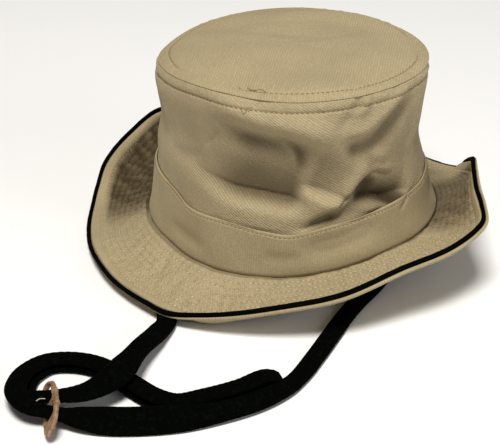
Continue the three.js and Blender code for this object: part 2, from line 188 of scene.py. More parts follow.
def hermite(x, y, at):
    """The cubic Hermite curve through the points (x, y), which need one spare point at each end."""
    slope = np.zeros(len(x))
    slope[1:-1] = (y[2:] - y[:-2]) / (x[2:] - x[:-2])
    i = np.clip(np.searchsorted(x, at, side="right") - 1, 1, len(x) - 3)
    width = x[i + 1] - x[i]
    u = (at - x[i]) / width
    start = (2 * u**3 - 3 * u**2 + 1) * y[i] + (u**3 - 2 * u**2 + u) * width * slope[i]
    return start + (3 * u**2 - 2 * u**3) * y[i + 1] + (u**3 - u**2) * width * slope[i + 1]


def around(table, column, angle):
    """A column's value at angles round the crown. The table goes round once and meets itself."""
    x, y = np.asarray(table["angle"], float), np.asarray(table[column], float)
    x = np.r_[x[-2:] - 360, x, x[:2] + 360]
    at = np.asarray(angle, float) % 360
    return hermite(x, np.r_[y[-2:], y, y[:2]], np.where(at < x[2], at + 360, at))


def upward(column, share):
    """The crown's reach in one direction at shares of the way up. Its end slopes are level."""
    x, y = np.asarray(PROFILE["share"]), np.asarray(PROFILE[column])
    x, y = np.r_[-0.15, x, 1.1], np.r_[y[0] * 2 - y[1], y, y[-1] * 2 - y[-2]]
    return hermite(x, y, np.clip(share, 0, 1))


def crown_outline(angle, share):
    """The crown's radius without its folds: an ellipse whose four half-axes follow PROFILE, less
    the bell-shaped pinch at the back left."""
    turn = np.radians(angle)
    c, s = np.cos(turn), np.sin(turn)
    sideways = np.where(c > 0, upward("right", share), upward("left", share))
    deep = np.where(s > 0, upward("back", share), upward("front", share))
    across = turn_from(angle, PINCH_ANGLE) / PINCH_TURN
    pinch = PINCH_DEPTH * np.exp(-across**2 - ((1 - share) / PINCH_SHARE) ** 2)
    return 1 / np.hypot(c / sideways, s / deep) - pinch


print("girth of the crown's foot:", round(float(running_length(polar(
    np.linspace(0, 360, 361), crown_outline(np.linspace(0, 360, 361), 0.0), 0.0))[-1])), "mm")

# %% [markdown]
# ## The chin lace's line
# The lace is one flat braid, 12 mm wide and about 1.02 m long, sewn under the brim at both sides.
# It comes down to the table, runs forward, and both strands pass through the slide, beyond which
# it hangs in a loop that turns back over itself at its fold. The points below are the middle of
# the braid, in millimetres round the crown's axis; its solid follows the same points. A
# centripetal Catmull-Rom curve runs through them, which doesn't overshoot where they are close.
# Here and there the soft braid rolls over, and its further edge stands up by some degrees.

# %% The lace's route
LACE_WIDTH, LACE_THICKNESS = 12.0, 4.0
FLOOR_LAYER = 2.35      # the braid's middle above the table
UPPER_LAYER = 7.15      # and where it lies on its own other half
SLOT_HEIGHT = 7.2       # where both strands pass through the slide
LACE_TABLE = [  # x, y, z, roll
    (-90, -6, 10.5, 0), (-90.5, -22, 8.5, 0), (-88.5, -42, 4.2, 0), (-84.5, -70, FLOOR_LAYER, 0),
    (-77.5, -104, FLOOR_LAYER, 0), (-72.5, -131, 2.9, 4), (-76, -152, 6.8, 24), (-83, -176, 11.6, 22),
    (-88.5, -195, 13.6, 12), (-95, -210.5, 13, 10), (-108, -219.5, 9.8, 2),
    (-127.4, -220.8, SLOT_HEIGHT, 0), (-137, -219.5, 5.9, 0), (-143, -210, 2.9, 0),
    (-142.5, -197, FLOOR_LAYER, 0), (-134, -184.5, FLOOR_LAYER, 0), (-122, -182, FLOOR_LAYER, 0),
    (-108, -185.5, FLOOR_LAYER, 0), (-95, -195.5, FLOOR_LAYER, 0), (-83.5, -207, FLOOR_LAYER, 0),
    (-72, -217, FLOOR_LAYER, 0), (-60, -221.5, FLOOR_LAYER, 0), (-45, -216, FLOOR_LAYER, 0),
    (-27, -206.5, FLOOR_LAYER, 0), (-12, -198.5, FLOOR_LAYER, 0), (-5.5, -196, 4.75, 0),
    (-12, -198.5, 8.5, 0), (-27, -207.5, UPPER_LAYER, 0), (-45, -217, UPPER_LAYER, 0),
    (-60, -222.5, UPPER_LAYER, 0), (-72, -217.5, UPPER_LAYER, 0), (-83.5, -207, UPPER_LAYER, 0),
    (-95, -195.5, UPPER_LAYER, 0), (-108, -185.5, UPPER_LAYER, 0), (-122, -182, UPPER_LAYER, 0),
    (-135, -184.5, UPPER_LAYER, 0), (-144, -195, 7.3, 0), (-147, -208.5, 8.3, 0), (-145.5, -222, 9.4, 0),
    (-137.5, -233.2, 9, 0), (-124.5, -236.3, SLOT_HEIGHT, 0), (-109, -239, 6.2, 16),
    (-92, -240.5, 5.3, 30), (-70, -239, 5.3, 30), (-46.5, -234, 5.3, 30), (-21, -221.5, 5.2, 28),
    (-4.5, -206, 4, 14), (5, -190, FLOOR_LAYER, 0), (14, -169, FLOOR_LAYER, 0),
    (29.5, -129, FLOOR_LAYER, 0), (38, -110, 2.7, 0), (49, -94, 5.6, 0), (60, -79, 11.2, 0),
    (69, -64, 14.6, 0), (78, -46, 15.6, 0), (86, -28, 15.9, 0), (91, -12, 16.2, 0),
]
LACE_ROUTE = [row[:3] for row in LACE_TABLE]
LACE_STEPS = 30         # points worked out between two rows
LACE_SPREAD = [  # where the soft braid is pressed wider beside the slide, and gathered in the slots:
                 # middle row, rows, share
    (9.2, 1.4, 0.42), (42.4, 1.65, 0.42), (11, 0.6, -0.1), (40.2, 0.6, -0.14),
]


def smooth_line(points, steps=30):
    """A centripetal Catmull-Rom curve: between two points the speed at each end is a blend of the
    chords on both sides, weighed by the square roots of their lengths."""
    p = np.asarray(points, float)
    p = np.vstack([2 * p[0] - p[1], p, 2 * p[-1] - p[-2]])
    gap = np.sqrt(np.linalg.norm(np.diff(p, axis=0), axis=1))[:, None]
    chord = np.diff(p, axis=0)
    before, here, after = gap[:-2], gap[1:-1], gap[2:]
    turn = (chord[:-2] + chord[1:-1]) / (before + here)
    first = here * (chord[:-2] / before - turn + chord[1:-1] / here)
    turn = (chord[1:-1] + chord[2:]) / (here + after)
    second = here * (chord[1:-1] / here - turn + chord[2:] / after)
    u = np.linspace(0, 1, steps, endpoint=False)[None, :, None]
    start, end = p[1:-2, None], p[2:-1, None]
    first, second = first[:, None], second[:, None]
    line = (2 * u**3 - 3 * u**2 + 1) * start + (u**3 - 2 * u**2 + u) * first
    line = line + (3 * u**2 - 2 * u**3) * end + (u**3 - u**2) * second
    return np.vstack([line.reshape(-1, p.shape[1]), p[-2]])


def evenly(line, spacing):
    """The same line with points an even distance apart, at most `spacing`."""
    length = running_length(line)
    at = np.linspace(0, length[-1], int(math.ceil(length[-1] / spacing)) + 1)
    return np.stack([np.interp(at, length, axis) for axis in line.T], 1), at


def roll_and_spread(line, at):
    """Two things at distances along the lace: its roll in radians, a soft step from each row of
    the table to the next, and how many times its plain width the braid is spread."""
    roll = np.radians([row[3] for row in LACE_TABLE])
    along = np.interp(at, running_length(line), np.arange(len(line)) / LACE_STEPS)
    row = np.minimum(along.astype(int), len(roll) - 2)
    part = along - row
    wider = 1 + sum(share * np.exp(-(((along - middle) / rows) ** 4))
                    for middle, rows, share in LACE_SPREAD)
    return roll[row] + (roll[row + 1] - roll[row]) * part * part * (3 - 2 * part), wider


lace_curve = smooth_line(LACE_ROUTE, LACE_STEPS)
LACE_LINE, LACE_AT = evenly(lace_curve, 0.72)
LACE_ROLL, LACE_WIDER = roll_and_spread(lace_curve, LACE_AT)
print("lace:", round(LACE_AT[-1]), "mm")

# %% [markdown]
# ## Folds in the crown
# A worn cotton crown is never a clean oval. Cloth that has to sit down on itself bulges along one
# line and sinks just below it. Each fold here is a line on the unrolled side, in millimetres to
# the right of the front and above the table. Along the line runs a lip that stands out on its
# left-hand side (the upper side of a line that goes to the right), a sunk strip on the other side,
# and where the cloth is sharply creased a narrow valley on the line itself. A fold with a ramp
# slopes in gently from above, down to the line, and turns out again steeply under it.

# %% Table of folds
UNROLLED_RADIUS = 92.4
FOLDS = [  # line, lip (height, width), sink (depth, width), crease (depth, width), taper at each end,
         # and for some a ramp (depth, width above the line, width below it)
    dict(line=[(-60, 116), (-50, 112.5), (-40, 109.5), (-29, 106.5), (-18, 104), (-7, 102), (4, 99.5),
               (21, 95), (38, 90)], lip=(4.4, 8), sink=(2.6, 8), crease=(0, 1), taper=(0.3, 0.35)),
    dict(line=[(-76, 80), (-66, 75), (-56, 70.5), (-46, 67.5), (-36, 65.5), (-26, 65), (-14, 64),
               (0, 62), (9, 60)], lip=(0, 7), sink=(-0.9, 9), crease=(1.6, 1.3), ramp=(8.0, 25, 6.0),
         taper=(0.6, 0.13)),
    dict(line=[(3, 74), (10, 71), (21, 66.5), (31, 62), (39, 58)],
         lip=(0, 7), sink=(-1.8, 6), crease=(1.0, 1.2), ramp=(4.6, 14, 3.4), taper=0.3),
    dict(line=[(3, 41), (10, 45.5), (20.6, 52), (28.7, 55.4), (34.4, 59), (43, 64.6), (52, 69.5),
               (58, 72)], lip=(1.4, 6), sink=(4.2, 5), crease=(2.6, 1.3), taper=0.16),
    dict(line=[(38, 55), (46, 57.5), (54, 57), (62, 54), (70, 50), (79, 46), (90, 43)],
         lip=(0, 6), sink=(-2.6, 5), crease=(2.4, 1.3), ramp=(9.5, 12, 3.2), taper=0.28),
    dict(line=[(8, 44.5), (14.6, 46), (21, 47.5), (29, 48.5)],
         lip=(-1.0, 2.5), sink=(-0.5, 2), crease=(2.0, 1.1), taper=0.3),
    dict(line=[(28, 95.5), (36.4, 97), (44, 97.5), (52, 99.6), (61, 105.7), (69.5, 110.4), (79, 114.5),
               (90, 119)], lip=(2.2, 5), sink=(4.4, 7), crease=(0.6, 1.5), taper=0.18),
    dict(line=[(43.5, 134), (43, 126), (42, 120), (38, 113)],
         lip=(1.2, 3), sink=(1.5, 3), crease=(1.0, 1.4), taper=0.25),
    dict(line=[(26, 107), (31, 113), (37, 119)], lip=(0.4, 3), sink=(0.7, 3), crease=(0, 1), taper=0.4),
    dict(line=[(-61, 87), (-58.6, 88.8), (-53.7, 93.4), (-49, 99.5), (-47, 103)],
         lip=(-0.5, 4), sink=(0.3, 3), crease=(1.3, 1.6), taper=0.4),
    dict(line=[(-92, 84), (-80, 82), (-68, 84), (-60, 88)],
         lip=(0, 4), sink=(1.3, 5), crease=(0, 1), taper=0.4),
    dict(line=[(0, 74), (1, 80), (1, 86), (-1, 92), (-6, 97), (-14, 100)],
         lip=(0.3, 3), sink=(1.5, 3.5), crease=(-1.2, 1.8), taper=0.34),
    dict(line=[(52, 73), (58.7, 71.4), (66, 68.8), (72, 66)],
         lip=(0.8, 3), sink=(0, 2), crease=(1.8, 1.3), taper=0.35),
    dict(line=[(50, 88), (57, 80), (62, 74)], lip=(1.2, 4), sink=(1.0, 4), crease=(0, 1), taper=0.4),
    dict(line=[(88, 108), (97, 98), (101, 88), (100, 76)],
         lip=(0.8, 6), sink=(1.4, 7), crease=(0, 1), taper=0.3),
    dict(line=[(-118, 112), (-112, 103), (-109, 94), (-112, 84)],
         lip=(1.2, 7), sink=(0.6, 6), crease=(0, 1), taper=0.35),
    dict(line=[(135, 96), (158, 91), (182, 93), (204, 87)],
         lip=(1.2, 7), sink=(2.8, 9), crease=(0.5, 2), taper=0.3),
    dict(line=[(216, 72), (236, 66), (258, 70), (276, 64)],
         lip=(-2.4, 10), sink=(-0.6, 7), crease=(1.8, 2.4), taper=0.3),
    dict(line=[(-252, 104), (-230, 97), (-206, 99), (-184, 91)],
         lip=(1.4, 7), sink=(2.8, 9), crease=(0, 1), taper=0.3),
    dict(line=[(-176, 70), (-158, 63), (-138, 64)],
         lip=(-2.2, 9), sink=(-0.8, 6), crease=(1.6, 2), taper=0.3),
]


def unrolled(angle):
    """Where an angle lies on the unrolled side: millimetres to the right of the front."""
    return np.radians(turn_from(angle, 270)) * UNROLLED_RADIUS


def bump(distance, width):
    """A bell of height 1 whose middle lies one width away from the line."""
    return bell(distance - width, width)


def along_fold(x, y, line, taper):
    """How far each point lies from a line, more than zero on its left, and how strongly the fold
    counts there: 1 along its middle and fading to 0 over a share of its length at each end (the
    taper: one number, or one for each end)."""
    p = smooth_line(line, 5)
    start, step = p[:-1], np.diff(p, axis=0)
    length = np.linalg.norm(step, axis=1)
    from_start = np.stack([x, y], -1)[..., None, :] - start
    t = np.clip((from_start * step).sum(-1) / length**2, 0, 1)
    away = from_start - t[..., None] * step
    distance = np.linalg.norm(away, axis=-1)
    nearest = distance.argmin(-1)[..., None]
    side = np.sign(step[:, 0] * from_start[..., 1] - step[:, 1] * from_start[..., 0])
    so_far = np.r_[0, np.cumsum(length)[:-1]] + t * length
    at, d, s = (np.take_along_axis(a, nearest, -1)[..., 0] for a in (so_far, distance, side))
    first, last = np.broadcast_to(taper, 2) * length.sum()
    ends = np.clip(np.minimum(at / first, (length.sum() - at) / last), 0, 1)
    return d * s, ends * ends * (3 - 2 * ends)


def fold_relief(angle, height):
    """How far the folds move the side's cloth out (less than zero is in) at an angle and height."""
    x = unrolled(angle)
    x, y = np.broadcast_arrays(x, height)
    relief = np.zeros(x.shape)
    for fold in FOLDS:
        xs = np.array([p[0] for p in fold["line"]])
        near = (x > xs.min() - 40) & (x < xs.max() + 40)
        d, strength = along_fold(x[near], y[near], fold["line"], fold["taper"])
        lip, sink, crease = fold["lip"], fold["sink"], fold["crease"]
        out = lip[0] * bump(d, lip[1]) - sink[0] * bump(-d, sink[1])
        out -= crease[0] * np.exp(-np.abs(d) / crease[1])
        deep, above, below = fold.get("ramp", (0, 1, 1))
        out -= deep * np.where(d > 0, np.exp(-(np.abs(d) / above) ** 1.5), bell(d, below))
        relief[near] += strength * out
    return relief


WAVES = [  # cycles round the crown, cycles over 100 mm of height, phase, height in mm
    (4, 0.5, 0.4, 0.45), (7, -0.7, 2.1, 0.4), (11, 0.9, 4.0, 0.3), (17, -1.3, 1.2, 0.2),
    (26, 1.6, 5.2, 0.12),
]


def slack(angle, height):
    """Broad shallow waves of slack cloth: a sum of cosines that slant round the crown."""
    turn = np.radians(angle)
    return sum(size * np.cos(n * turn + 2 * np.pi * k * height / 100 + phase)
               for n, k, phase, size in WAVES)


# %% [markdown]
# ## The crown's side
# The side is one strip of twill, closed into a ring. At its top it is sewn to the tip: both seam
# allowances are pressed open, and a row of topstitching 6 or 7 mm from it holds each. Sewing draws the
# cloth down along a stitch row and lets it puff between rows, with small puckers. The folds above only
# start over the hat band, which holds the cloth below it. Each point also has a share of painted shade,
# stored as a point attribute of the mesh. It darkens the cloth to stand in for shade that the folds
# shaped here are too shallow to cast. It isn't meant as dirt, and nobody knows that the real cloth is
# stained there, so it may be taken out again.

# %% Side of the crown
CLOTH = 1.6             # twill with its fusing
BAND_GAP = 0.45
BAND_CLOTH = 1.5
SIDE_STITCH = 6.0       # the topstitching's distance from the seam, down the side
TIP_STITCH = 7.0        # and in on the tip
TURNS = 460
TURN = np.arange(TURNS) * 360 / TURNS
ROUND_MM = np.arange(TURNS + 1) / TURNS * 2 * np.pi * UNROLLED_RADIUS


def soft_step(x):
    """0 below 0, 1 above 1 and a smooth slope between."""
    x = np.clip(x, 0, 1)
    return x * x * (3 - 2 * x)


def seam_relief(distance, stitch, angle):
    """Relief beside the tip seam: a groove at the seam, a drawn-in line at the stitches, a puff
    between them with a pucker every few millimetres, and flat cloth beyond."""
    pucker = np.cos(74 * np.radians(angle) + 2.2 * np.cos(9 * np.radians(angle)))
    pucker += 0.6 * np.cos(41 * np.radians(angle) + 1.0)
    groove = -0.25 * bell(distance, 0.8)
    row = -0.7 * bell(distance - stitch, 0.75)
    puff = (0.5 + 0.26 * pucker) * bell(distance - stitch / 2, 0.36 * stitch)
    beyond = 0.1 * pucker * bell(distance - stitch - 3, 2.2)
    return groove + row + puff + beyond


def side_point(angle, height, inward=0.0):
    """A point of the side's outer face, moved in towards the crown's axis."""
    base, seam = around(CROWN, "base", angle), around(CROWN, "seam", angle)
    band_top = around(CROWN, "band_top", angle)
    radius = crown_outline(angle, (height - base) / (seam - base))
    free = soft_step((height - band_top + 0.5) / 3)
    radius = radius + free * (fold_relief(angle, height) + slack(angle, height))
    radius = radius + free * seam_relief(seam - height, SIDE_STITCH, angle)
    return polar(angle, radius - inward, height)


def side_rows(angle):
    """Heights of the side's rows, close together near the seam: (outer rows, inner rows)."""
    base, seam = around(CROWN, "base", angle), around(CROWN, "seam", angle)
    wall = np.linspace(0, 1, 104)[:-1]
    edge = np.linspace(0, 1, 22)
    outer = np.concatenate([base + wall[:, None] * (seam - 11 - base), seam - 11 + edge[:, None] * 11])
    inner = base + np.linspace(1, 0, 52)[:, None] * (seam - base)
    return outer.T, inner.T


# painted shade: patches that darken the side where its shaped folds cast too little shade
DARK_PATCHES = [  # where the side is drawn darker: x, y on the unrolled side, half width, half
                  # height, share
    (50, 50, 24, 7, 0.55), (24, 84, 20, 9, 0.4), (73, 90, 15, 13, 0.25), (-24, 98, 17, 6, 0.3),
    (-28, 84, 26, 10, 0.2), (-70, 96, 20, 18, 0.15), (150, 60, 40, 12, 0.2), (-190, 60, 40, 12, 0.2),
]


def side_painted_shade(angle, height):
    """How much painted shade darkens the side, from 0 to 1: in the depth of its folds and in the patches
    above.
    """
    x = unrolled(angle)
    painted_shade_and_wear = soft_step(-fold_relief(angle, height) / 8.5) * 0.75
    for at_x, at_y, wide, tall, share in DARK_PATCHES:
        painted_shade_and_wear = painted_shade_and_wear + share * np.exp(-(((x - at_x) / wide) ** 2) - ((height - at_y) / tall) ** 2)
    return np.clip(painted_shade_and_wear, 0, 1)


outer, inner = side_rows(TURN)
grid = np.concatenate([side_point(TURN[:, None], outer), side_point(TURN[:, None], inner, CLOTH)], 1)
section = np.r_[running_length(grid[0]), running_length(grid[0])[-1] + CLOTH]
# painted shade on the side's outer face, none on its inner face
painted_shade_and_wear = np.concatenate([side_painted_shade(TURN[:, None], outer), np.zeros_like(inner)], 1)
side_cloth = ring_piece("side_cloth", grid, ROUND_MM, section, painted_shade_and_wear)

# %% [markdown]
# ## The tip
# The tip is an oval of the same twill, nearly flat. It domes a few millimetres, and its edge rolls
# over into the seam, so that a thin line of shade lies under it. The section runs from the middle
# of the under face out, round the rolled edge and back to the middle of the top, and one point
# closes each middle.

# %% Tip of the crown
TIP_LEVEL = 122.5
TIP_DOME = 3.5
TIP_EDGE = 0.5          # radius of the rolled edge
EDGE_INSET, EDGE_LIFT = 0.05, 0.1     # its place inside the side's face and over the seam
TIP_CLOTH = 1.4
TIP_RISE = 1.4          # how far the tip stands over its plain height, inside the rolled edge
TIP_ROLL = 3.3          # how far the top falls towards the seam
ROLL_WIDTH = 5.5        # within about this distance of it
SEAM_GAP = 0.3
TIP_CREASE = 5.16       # where a short crease crosses the stitched edge, in radians round
TIP_DENTS = [  # middle x, y, half width, half depth of the dent, how deep (less than zero bulges up)
    (6, 34, 42, 22, 4.6), (-46, 6, 22, 44, -1.6), (52, -4, 22, 40, -1.8), (24, -52, 30, 14, 1.2),
]


def tip_height(angle, share):
    """Height of the tip's under face: level in the middle, following the seam towards its rim."""
    seam = around(CROWN, "seam", angle)
    level = seam * share**2 + (1 - share**2) * TIP_LEVEL
    return level + TIP_DOME * (1 - share**3) + SEAM_GAP


def tip_point(angle, share, lift):
    """A point of the tip, lifted from its under face, with the relief of its stitched edge."""
    rim = crown_outline(angle, 1.0)
    turn = np.radians(angle)
    slack_cloth = 1.2 * np.cos(3 * turn + 4 * share) + 0.6 * np.cos(5 * turn - 6 * share + 1)
    slack_cloth = slack_cloth * share * soft_step((1 - share) * 8)
    across = np.exp(-(((turn - TIP_CREASE) * 90 / 3) ** 2)) * soft_step((share - 0.7) / 0.3)
    from_rim = (1 - share) * rim
    relief = seam_relief(from_rim + 1.2, TIP_STITCH + 1.2, angle) - 0.8 * across
    fall = TIP_ROLL * np.exp(-from_rim / ROLL_WIDTH) * soft_step((share - 0.3) / 0.4)
    relief = relief + TIP_RISE - fall
    x, y = rim * share * np.cos(turn), rim * share * np.sin(turn)
    for at_x, at_y, wide, long, deep in TIP_DENTS:
        dent = deep * np.exp(-(((x - at_x) / wide) ** 2) - ((y - at_y) / long) ** 2)
        relief = relief - dent * soft_step(from_rim / 14)
    return polar(angle, rim * share, tip_height(angle, share) + lift + slack_cloth + relief)


def tip_grid(angle):
    """The tip's section at each angle: under face, rolled edge, top."""
    rim = crown_outline(angle, 1.0)[:, None]
    under = np.linspace(0.04, 0.97, 22)[None, :]
    top = np.r_[np.linspace(0.985, 0.86, 24), np.linspace(0.85, 0.04, 38)][None, :]
    roll = np.radians(np.linspace(-90, 62, 8))[None, :]
    out = rim - TIP_EDGE - EDGE_INSET
    low = around(CROWN, "seam", angle)[:, None] + EDGE_LIFT + TIP_EDGE
    edge = polar(angle[:, None], out + TIP_EDGE * np.cos(roll), low + TIP_EDGE * np.sin(roll))
    lower = polar(angle[:, None], rim * under, tip_height(angle[:, None], under) + TIP_RISE * under)
    return np.concatenate([lower, edge, tip_point(angle[:, None], top, TIP_CLOTH)], 1)


def tip_piece(name):
    """The tip's rings with a fan of triangles at each middle. Its pattern lies flat over it."""
    grid = tip_grid(TURN)
    count = grid.shape[1]
    middles = np.array([grid[:, 0].mean(0), grid[:, -1].mean(0)])
    points = np.vstack([grid.reshape(-1, 3), middles])
    i, k = quads(TURNS, count, around_columns=False)
    faces = (i % TURNS) * count + k
    turn, after = np.arange(TURNS), (np.arange(TURNS) + 1) % TURNS
    under = np.stack([after * count, turn * count, np.full(TURNS, len(points) - 2)], 1)
    top = np.stack([turn, after], 1) * count + count - 1
    top = np.column_stack([top, np.full(TURNS, len(points) - 1)])
    corners = np.concatenate([faces.ravel(), under.ravel(), top.ravel()])
    return piece(name, points, [faces, under, top], points[corners][:, :2])


tip_cloth = tip_piece("tip_cloth")

# %% [markdown]
# ## The hat band
# A doubled strip lies round the crown's foot. Its top edge is turned in and topstitched 1.7 mm
# below the turn, so the edge is a small lip with a drawn-in line under it. Its foot tucks in where
# it is caught in the seam between crown and brim. In front it has a shallow valley over a swell.

# %% Hat band
BAND_STITCH = 1.7
BAND_DENTS = [  # line on the unrolled band, depth (less than zero stands proud), width
    ([(-92, 30), (-78, 27.5), (-64, 25.4), (-50, 23)], 1.0, 4.5),
    ([(-20, 27), (-6, 26), (10, 28)], 0.9, 4.5),
    ([(-4, 33), (14, 33), (34, 36), (60, 41)], 1.5, 7),
    ([(2, 21), (20, 23), (40, 26), (66, 29)], -1.1, 6.0),
    ([(74, 43), (79, 46), (86, 49)], 0.9, 1.5),
    ([(120, 36), (134, 33), (150, 37)], 0.8, 5),
    ([(-210, 36), (-190, 33), (-168, 37)], 0.8, 5),
]


def band_point(angle, part, offset):
    """A point of the band at a share of its height, that far out from the side's outline."""
    base, seam = around(CROWN, "base", angle), around(CROWN, "seam", angle)
    top = around(CROWN, "band_top", angle)
    height = base + part * (top - base)
    from_top = top - height
    lip = -0.55 * bell(from_top, 1.4)
    lip = lip - 0.3 * bell(from_top - BAND_STITCH, 0.55)
    foot = -0.9 * bell(height - base, 1.3)
    pucker = 0.08 * np.cos(88 * np.radians(angle)) * bell(from_top, 5)
    x = unrolled(angle)
    x, y = np.broadcast_arrays(x, height)
    dents = np.zeros(x.shape)
    for line, depth, width in BAND_DENTS:
        distance, strength = along_fold(x, y, line, 0.35)
        dents += depth * strength * bell(distance, width)
    wave = 0.25 * np.cos(9 * np.radians(angle) + 1) + 0.2 * np.cos(14 * np.radians(angle) + height / 8)
    face = (lip + foot + pucker + wave * np.clip(part * 4, 0, 1) - dents) * (offset > 1)
    radius = crown_outline(angle, (height - base) / (seam - base))
    return polar(angle, radius + np.maximum(offset + face, BAND_GAP + 0.3 * (offset > 1)), height)


def band_grid(angle):
    """The band's section: outer face from its foot up, the turned edge, inner face back down."""
    outer = np.r_[np.linspace(0, 0.8, 26), np.linspace(0.82, 0.985, 16)][None, :]
    inner = np.linspace(0.985, 0, 14)[None, :]
    turn = np.radians([30, 60, 90, 120, 150])[None, :]
    middle = BAND_GAP + BAND_CLOTH / 2
    edge = band_point(angle[:, None], np.full((1, 5), 0.985), 0.0)
    outward = polar(angle[:, None], np.ones((1, 5)), 0.0)
    radius = BAND_CLOTH / 2 - 0.25
    edge = edge + outward * (middle - 0.25 - BAND_GAP + radius * np.cos(turn))[..., None]
    edge[..., 2] += radius * 0.8 * np.sin(turn)
    return np.concatenate([
        band_point(angle[:, None], outer, BAND_GAP + BAND_CLOTH), edge,
        band_point(angle[:, None], inner, BAND_GAP)], 1)


grid = band_grid(TURN)
section = running_length(grid[0])
band_cloth = ring_piece("band_cloth", grid, ROUND_MM, np.r_[section, section[-1] + BAND_CLOTH])

# %% [markdown]
# ## The brim
# Two plies with a stiffening between them, quilted by rows of stitches that run round it. At the edge the
# last 8 mm form a smooth border along the piping, and below the piping the under ply rolls out as a thin
# lip. Seen in section, the brim starts under the band, sags and runs out to its edge; the waves come from
# the table of how high that edge is at each angle. The two hollows beside the crown and the dips along
# the stitch rows are darkened with painted shade, as the side's folds are.

# %% Brim
BRIM_TOP = 0.5
BRIM_UNDER = 2.2
SAG_SKEW = 1.5          # over 1, the brim sags most nearer its edge
PIPING_RADIUS = 1.5
BORDER = 8.0            # from the piping to the first row of stitches
QUILT_ROWS = 8
QUILT_ROOT = 0.035      # the share of the way out where the innermost row would run
BRIM_MIDDLE = 122       # radius of a ring about halfway out, which gives the cloth its millimetres
BRIM_TURNS = 540
BRIM_TURN = np.arange(BRIM_TURNS) * 360 / BRIM_TURNS
rng = np.random.default_rng(7)
ROW_PHASE = rng.uniform(0, 2 * np.pi, (QUILT_ROWS + 1, 3))


def brim_middle(angle, share):
    """The brim's middle line: a straight chord from the crown to the edge, moved square to itself
    by the sag times a sine of the share of the way."""
    start = crown_outline(angle, 0.0) + BAND_GAP + BAND_CLOTH
    level = around(CROWN, "base", angle) - SEAM_GAP - BRIM_TOP
    out, up = around(BRIM, "reach", angle) - start, around(BRIM, "rise", angle) - level
    sag = around(BRIM, "sag", angle) * np.sin(np.pi * share**SAG_SKEW) / np.hypot(out, up)
    return start + share * out + sag * up, level + share * up - sag * out


def brim_point(angle, share, lift, outward=0.0):
    """A point beside the middle line: lifted square to it, and moved out along it."""
    radius, height = brim_middle(angle, share)
    from_radius, from_height = brim_middle(angle, np.clip(share - 0.01, 0, 1))
    to_radius, to_height = brim_middle(angle, np.clip(share + 0.01, 0, 1))
    length = np.hypot(to_radius - from_radius, to_height - from_height)
    along, climb = (to_radius - from_radius) / length, (to_height - from_height) / length
    height = height + lift * along + outward * climb
    return polar(angle, radius - lift * climb + outward * along, np.maximum(height, 0.05))


def brim_width(angle):
    """The brim's width along its chord, from the band to the piping."""
    radius, height = brim_middle(angle, 0.0)
    return np.hypot(around(BRIM, "reach", angle) - radius, around(BRIM, "rise", angle) - height)


def row_share(angle, row):
    """The share of the way out where a row of stitches runs: row 0 bounds the border."""
    width = brim_width(angle)
    return (1 - BORDER / width) * (1 - row / QUILT_ROWS) + QUILT_ROOT * row / QUILT_ROWS


def quilting(angle, share):
    """How far the top ply stands up: 0 on the stitch rows and puffed between them, with puckers
    along each strip whose wavelength wanders; the border is one smooth, higher roll."""
    width = brim_width(angle)
    inner = (1 - BORDER / width - share) / (1 - BORDER / width - QUILT_ROOT) * QUILT_ROWS
    strip = np.clip(np.floor(inner), -1, QUILT_ROWS - 1).astype(int)
    part = np.clip(inner - strip, 0, 1)
    turn = np.radians(angle)
    phase = ROW_PHASE[strip + 1]
    wander = phase[..., 0] + 2.5 * np.cos(5 * turn + phase[..., 1])
    wander = wander + 1.5 * np.cos(13 * turn + phase[..., 2])
    pucker = np.cos(84 * turn + wander) + 0.7 * np.cos(131 * turn - wander)
    puff = np.abs(np.sin(np.pi * part)) ** 0.55 * (0.85 + 0.26 * pucker)
    from_edge = (1 - share) * width
    border = 0.95 * np.sin(np.pi * np.clip(from_edge / BORDER, 0, 1)) ** 0.6
    border += 0.06 * np.cos(60 * turn) * np.sin(np.pi * np.clip(from_edge / BORDER, 0, 1))
    return np.where(inner < 0, border, puff)


CREASE_SLANT = 14       # how many degrees a crease leans over the brim's whole width
BRIM_CREASES = [  # short creases by the crown: angle, share of the way out, length, width, depth
    (190, 0.22, 0.2, 2.0, 2.6), (184, 0.28, 0.22, 2.4, 2.2), (177, 0.25, 0.26, 2.6, 1.8),
    (170, 0.3, 0.3, 2.4, 1.5), (163, 0.35, 0.3, 2.6, 1.2), (199, 0.16, 0.16, 1.8, 1.0),
    (330, 0.35, 0.25, 3.0, 1.4), (322, 0.3, 0.2, 2.4, 1.1), (338, 0.4, 0.3, 2.4, 1.6),
    (20, 0.4, 0.3, 3.0, 1.0), (118, 0.4, 0.3, 3.0, 1.0), (141, 0.4, 0.3, 3.0, 1.0),
    (205, 0.3, 0.24, 1.3, 1.3), (212, 0.35, 0.2, 1.4, 1.4), (226, 0.4, 0.2, 1.2, 1.6),
    (243, 0.62, 0.18, 1.1, 1.7), (249, 0.5, 0.22, 1.3, 1.4), (262, 0.55, 0.2, 1.1, 1.2),
    (279, 0.6, 0.2, 1.2, 1.3), (296, 0.5, 0.22, 1.3, 1.3), (308, 0.5, 0.2, 1.5, 1.3),
]


def brim_creases(angle, share):
    """The depth of the creases that run out from the crown where the brim bends up."""
    depth = 0.0
    for middle, out, long, wide, deep in BRIM_CREASES:
        across = (turn_from(angle, middle) - CREASE_SLANT * (share - out)) / wide
        depth = depth + deep * np.exp(-across**2 - ((share - out) / long) ** 2)
    return depth


def brim_top(angle, share, extra=0.0):
    """A point of the quilted top ply."""
    edge = soft_step((1 - share) * brim_width(angle) / 2.5)
    ripple = 0.4 * np.cos(np.radians(23 * angle) + 9 * share) * np.cos(np.radians(9 * angle) - 5 * share)
    lift = BRIM_TOP + 0.35 + (quilting(angle, share) - brim_creases(angle, share) + ripple) * edge
    return brim_point(angle, share, lift + extra)


def lip_hang(angle):
    """How far the under ply's lip hangs below the piping: all the way in front, barely elsewhere."""
    return 0.1 + 0.9 * np.exp(-(((angle - 294) / 54) ** 4))


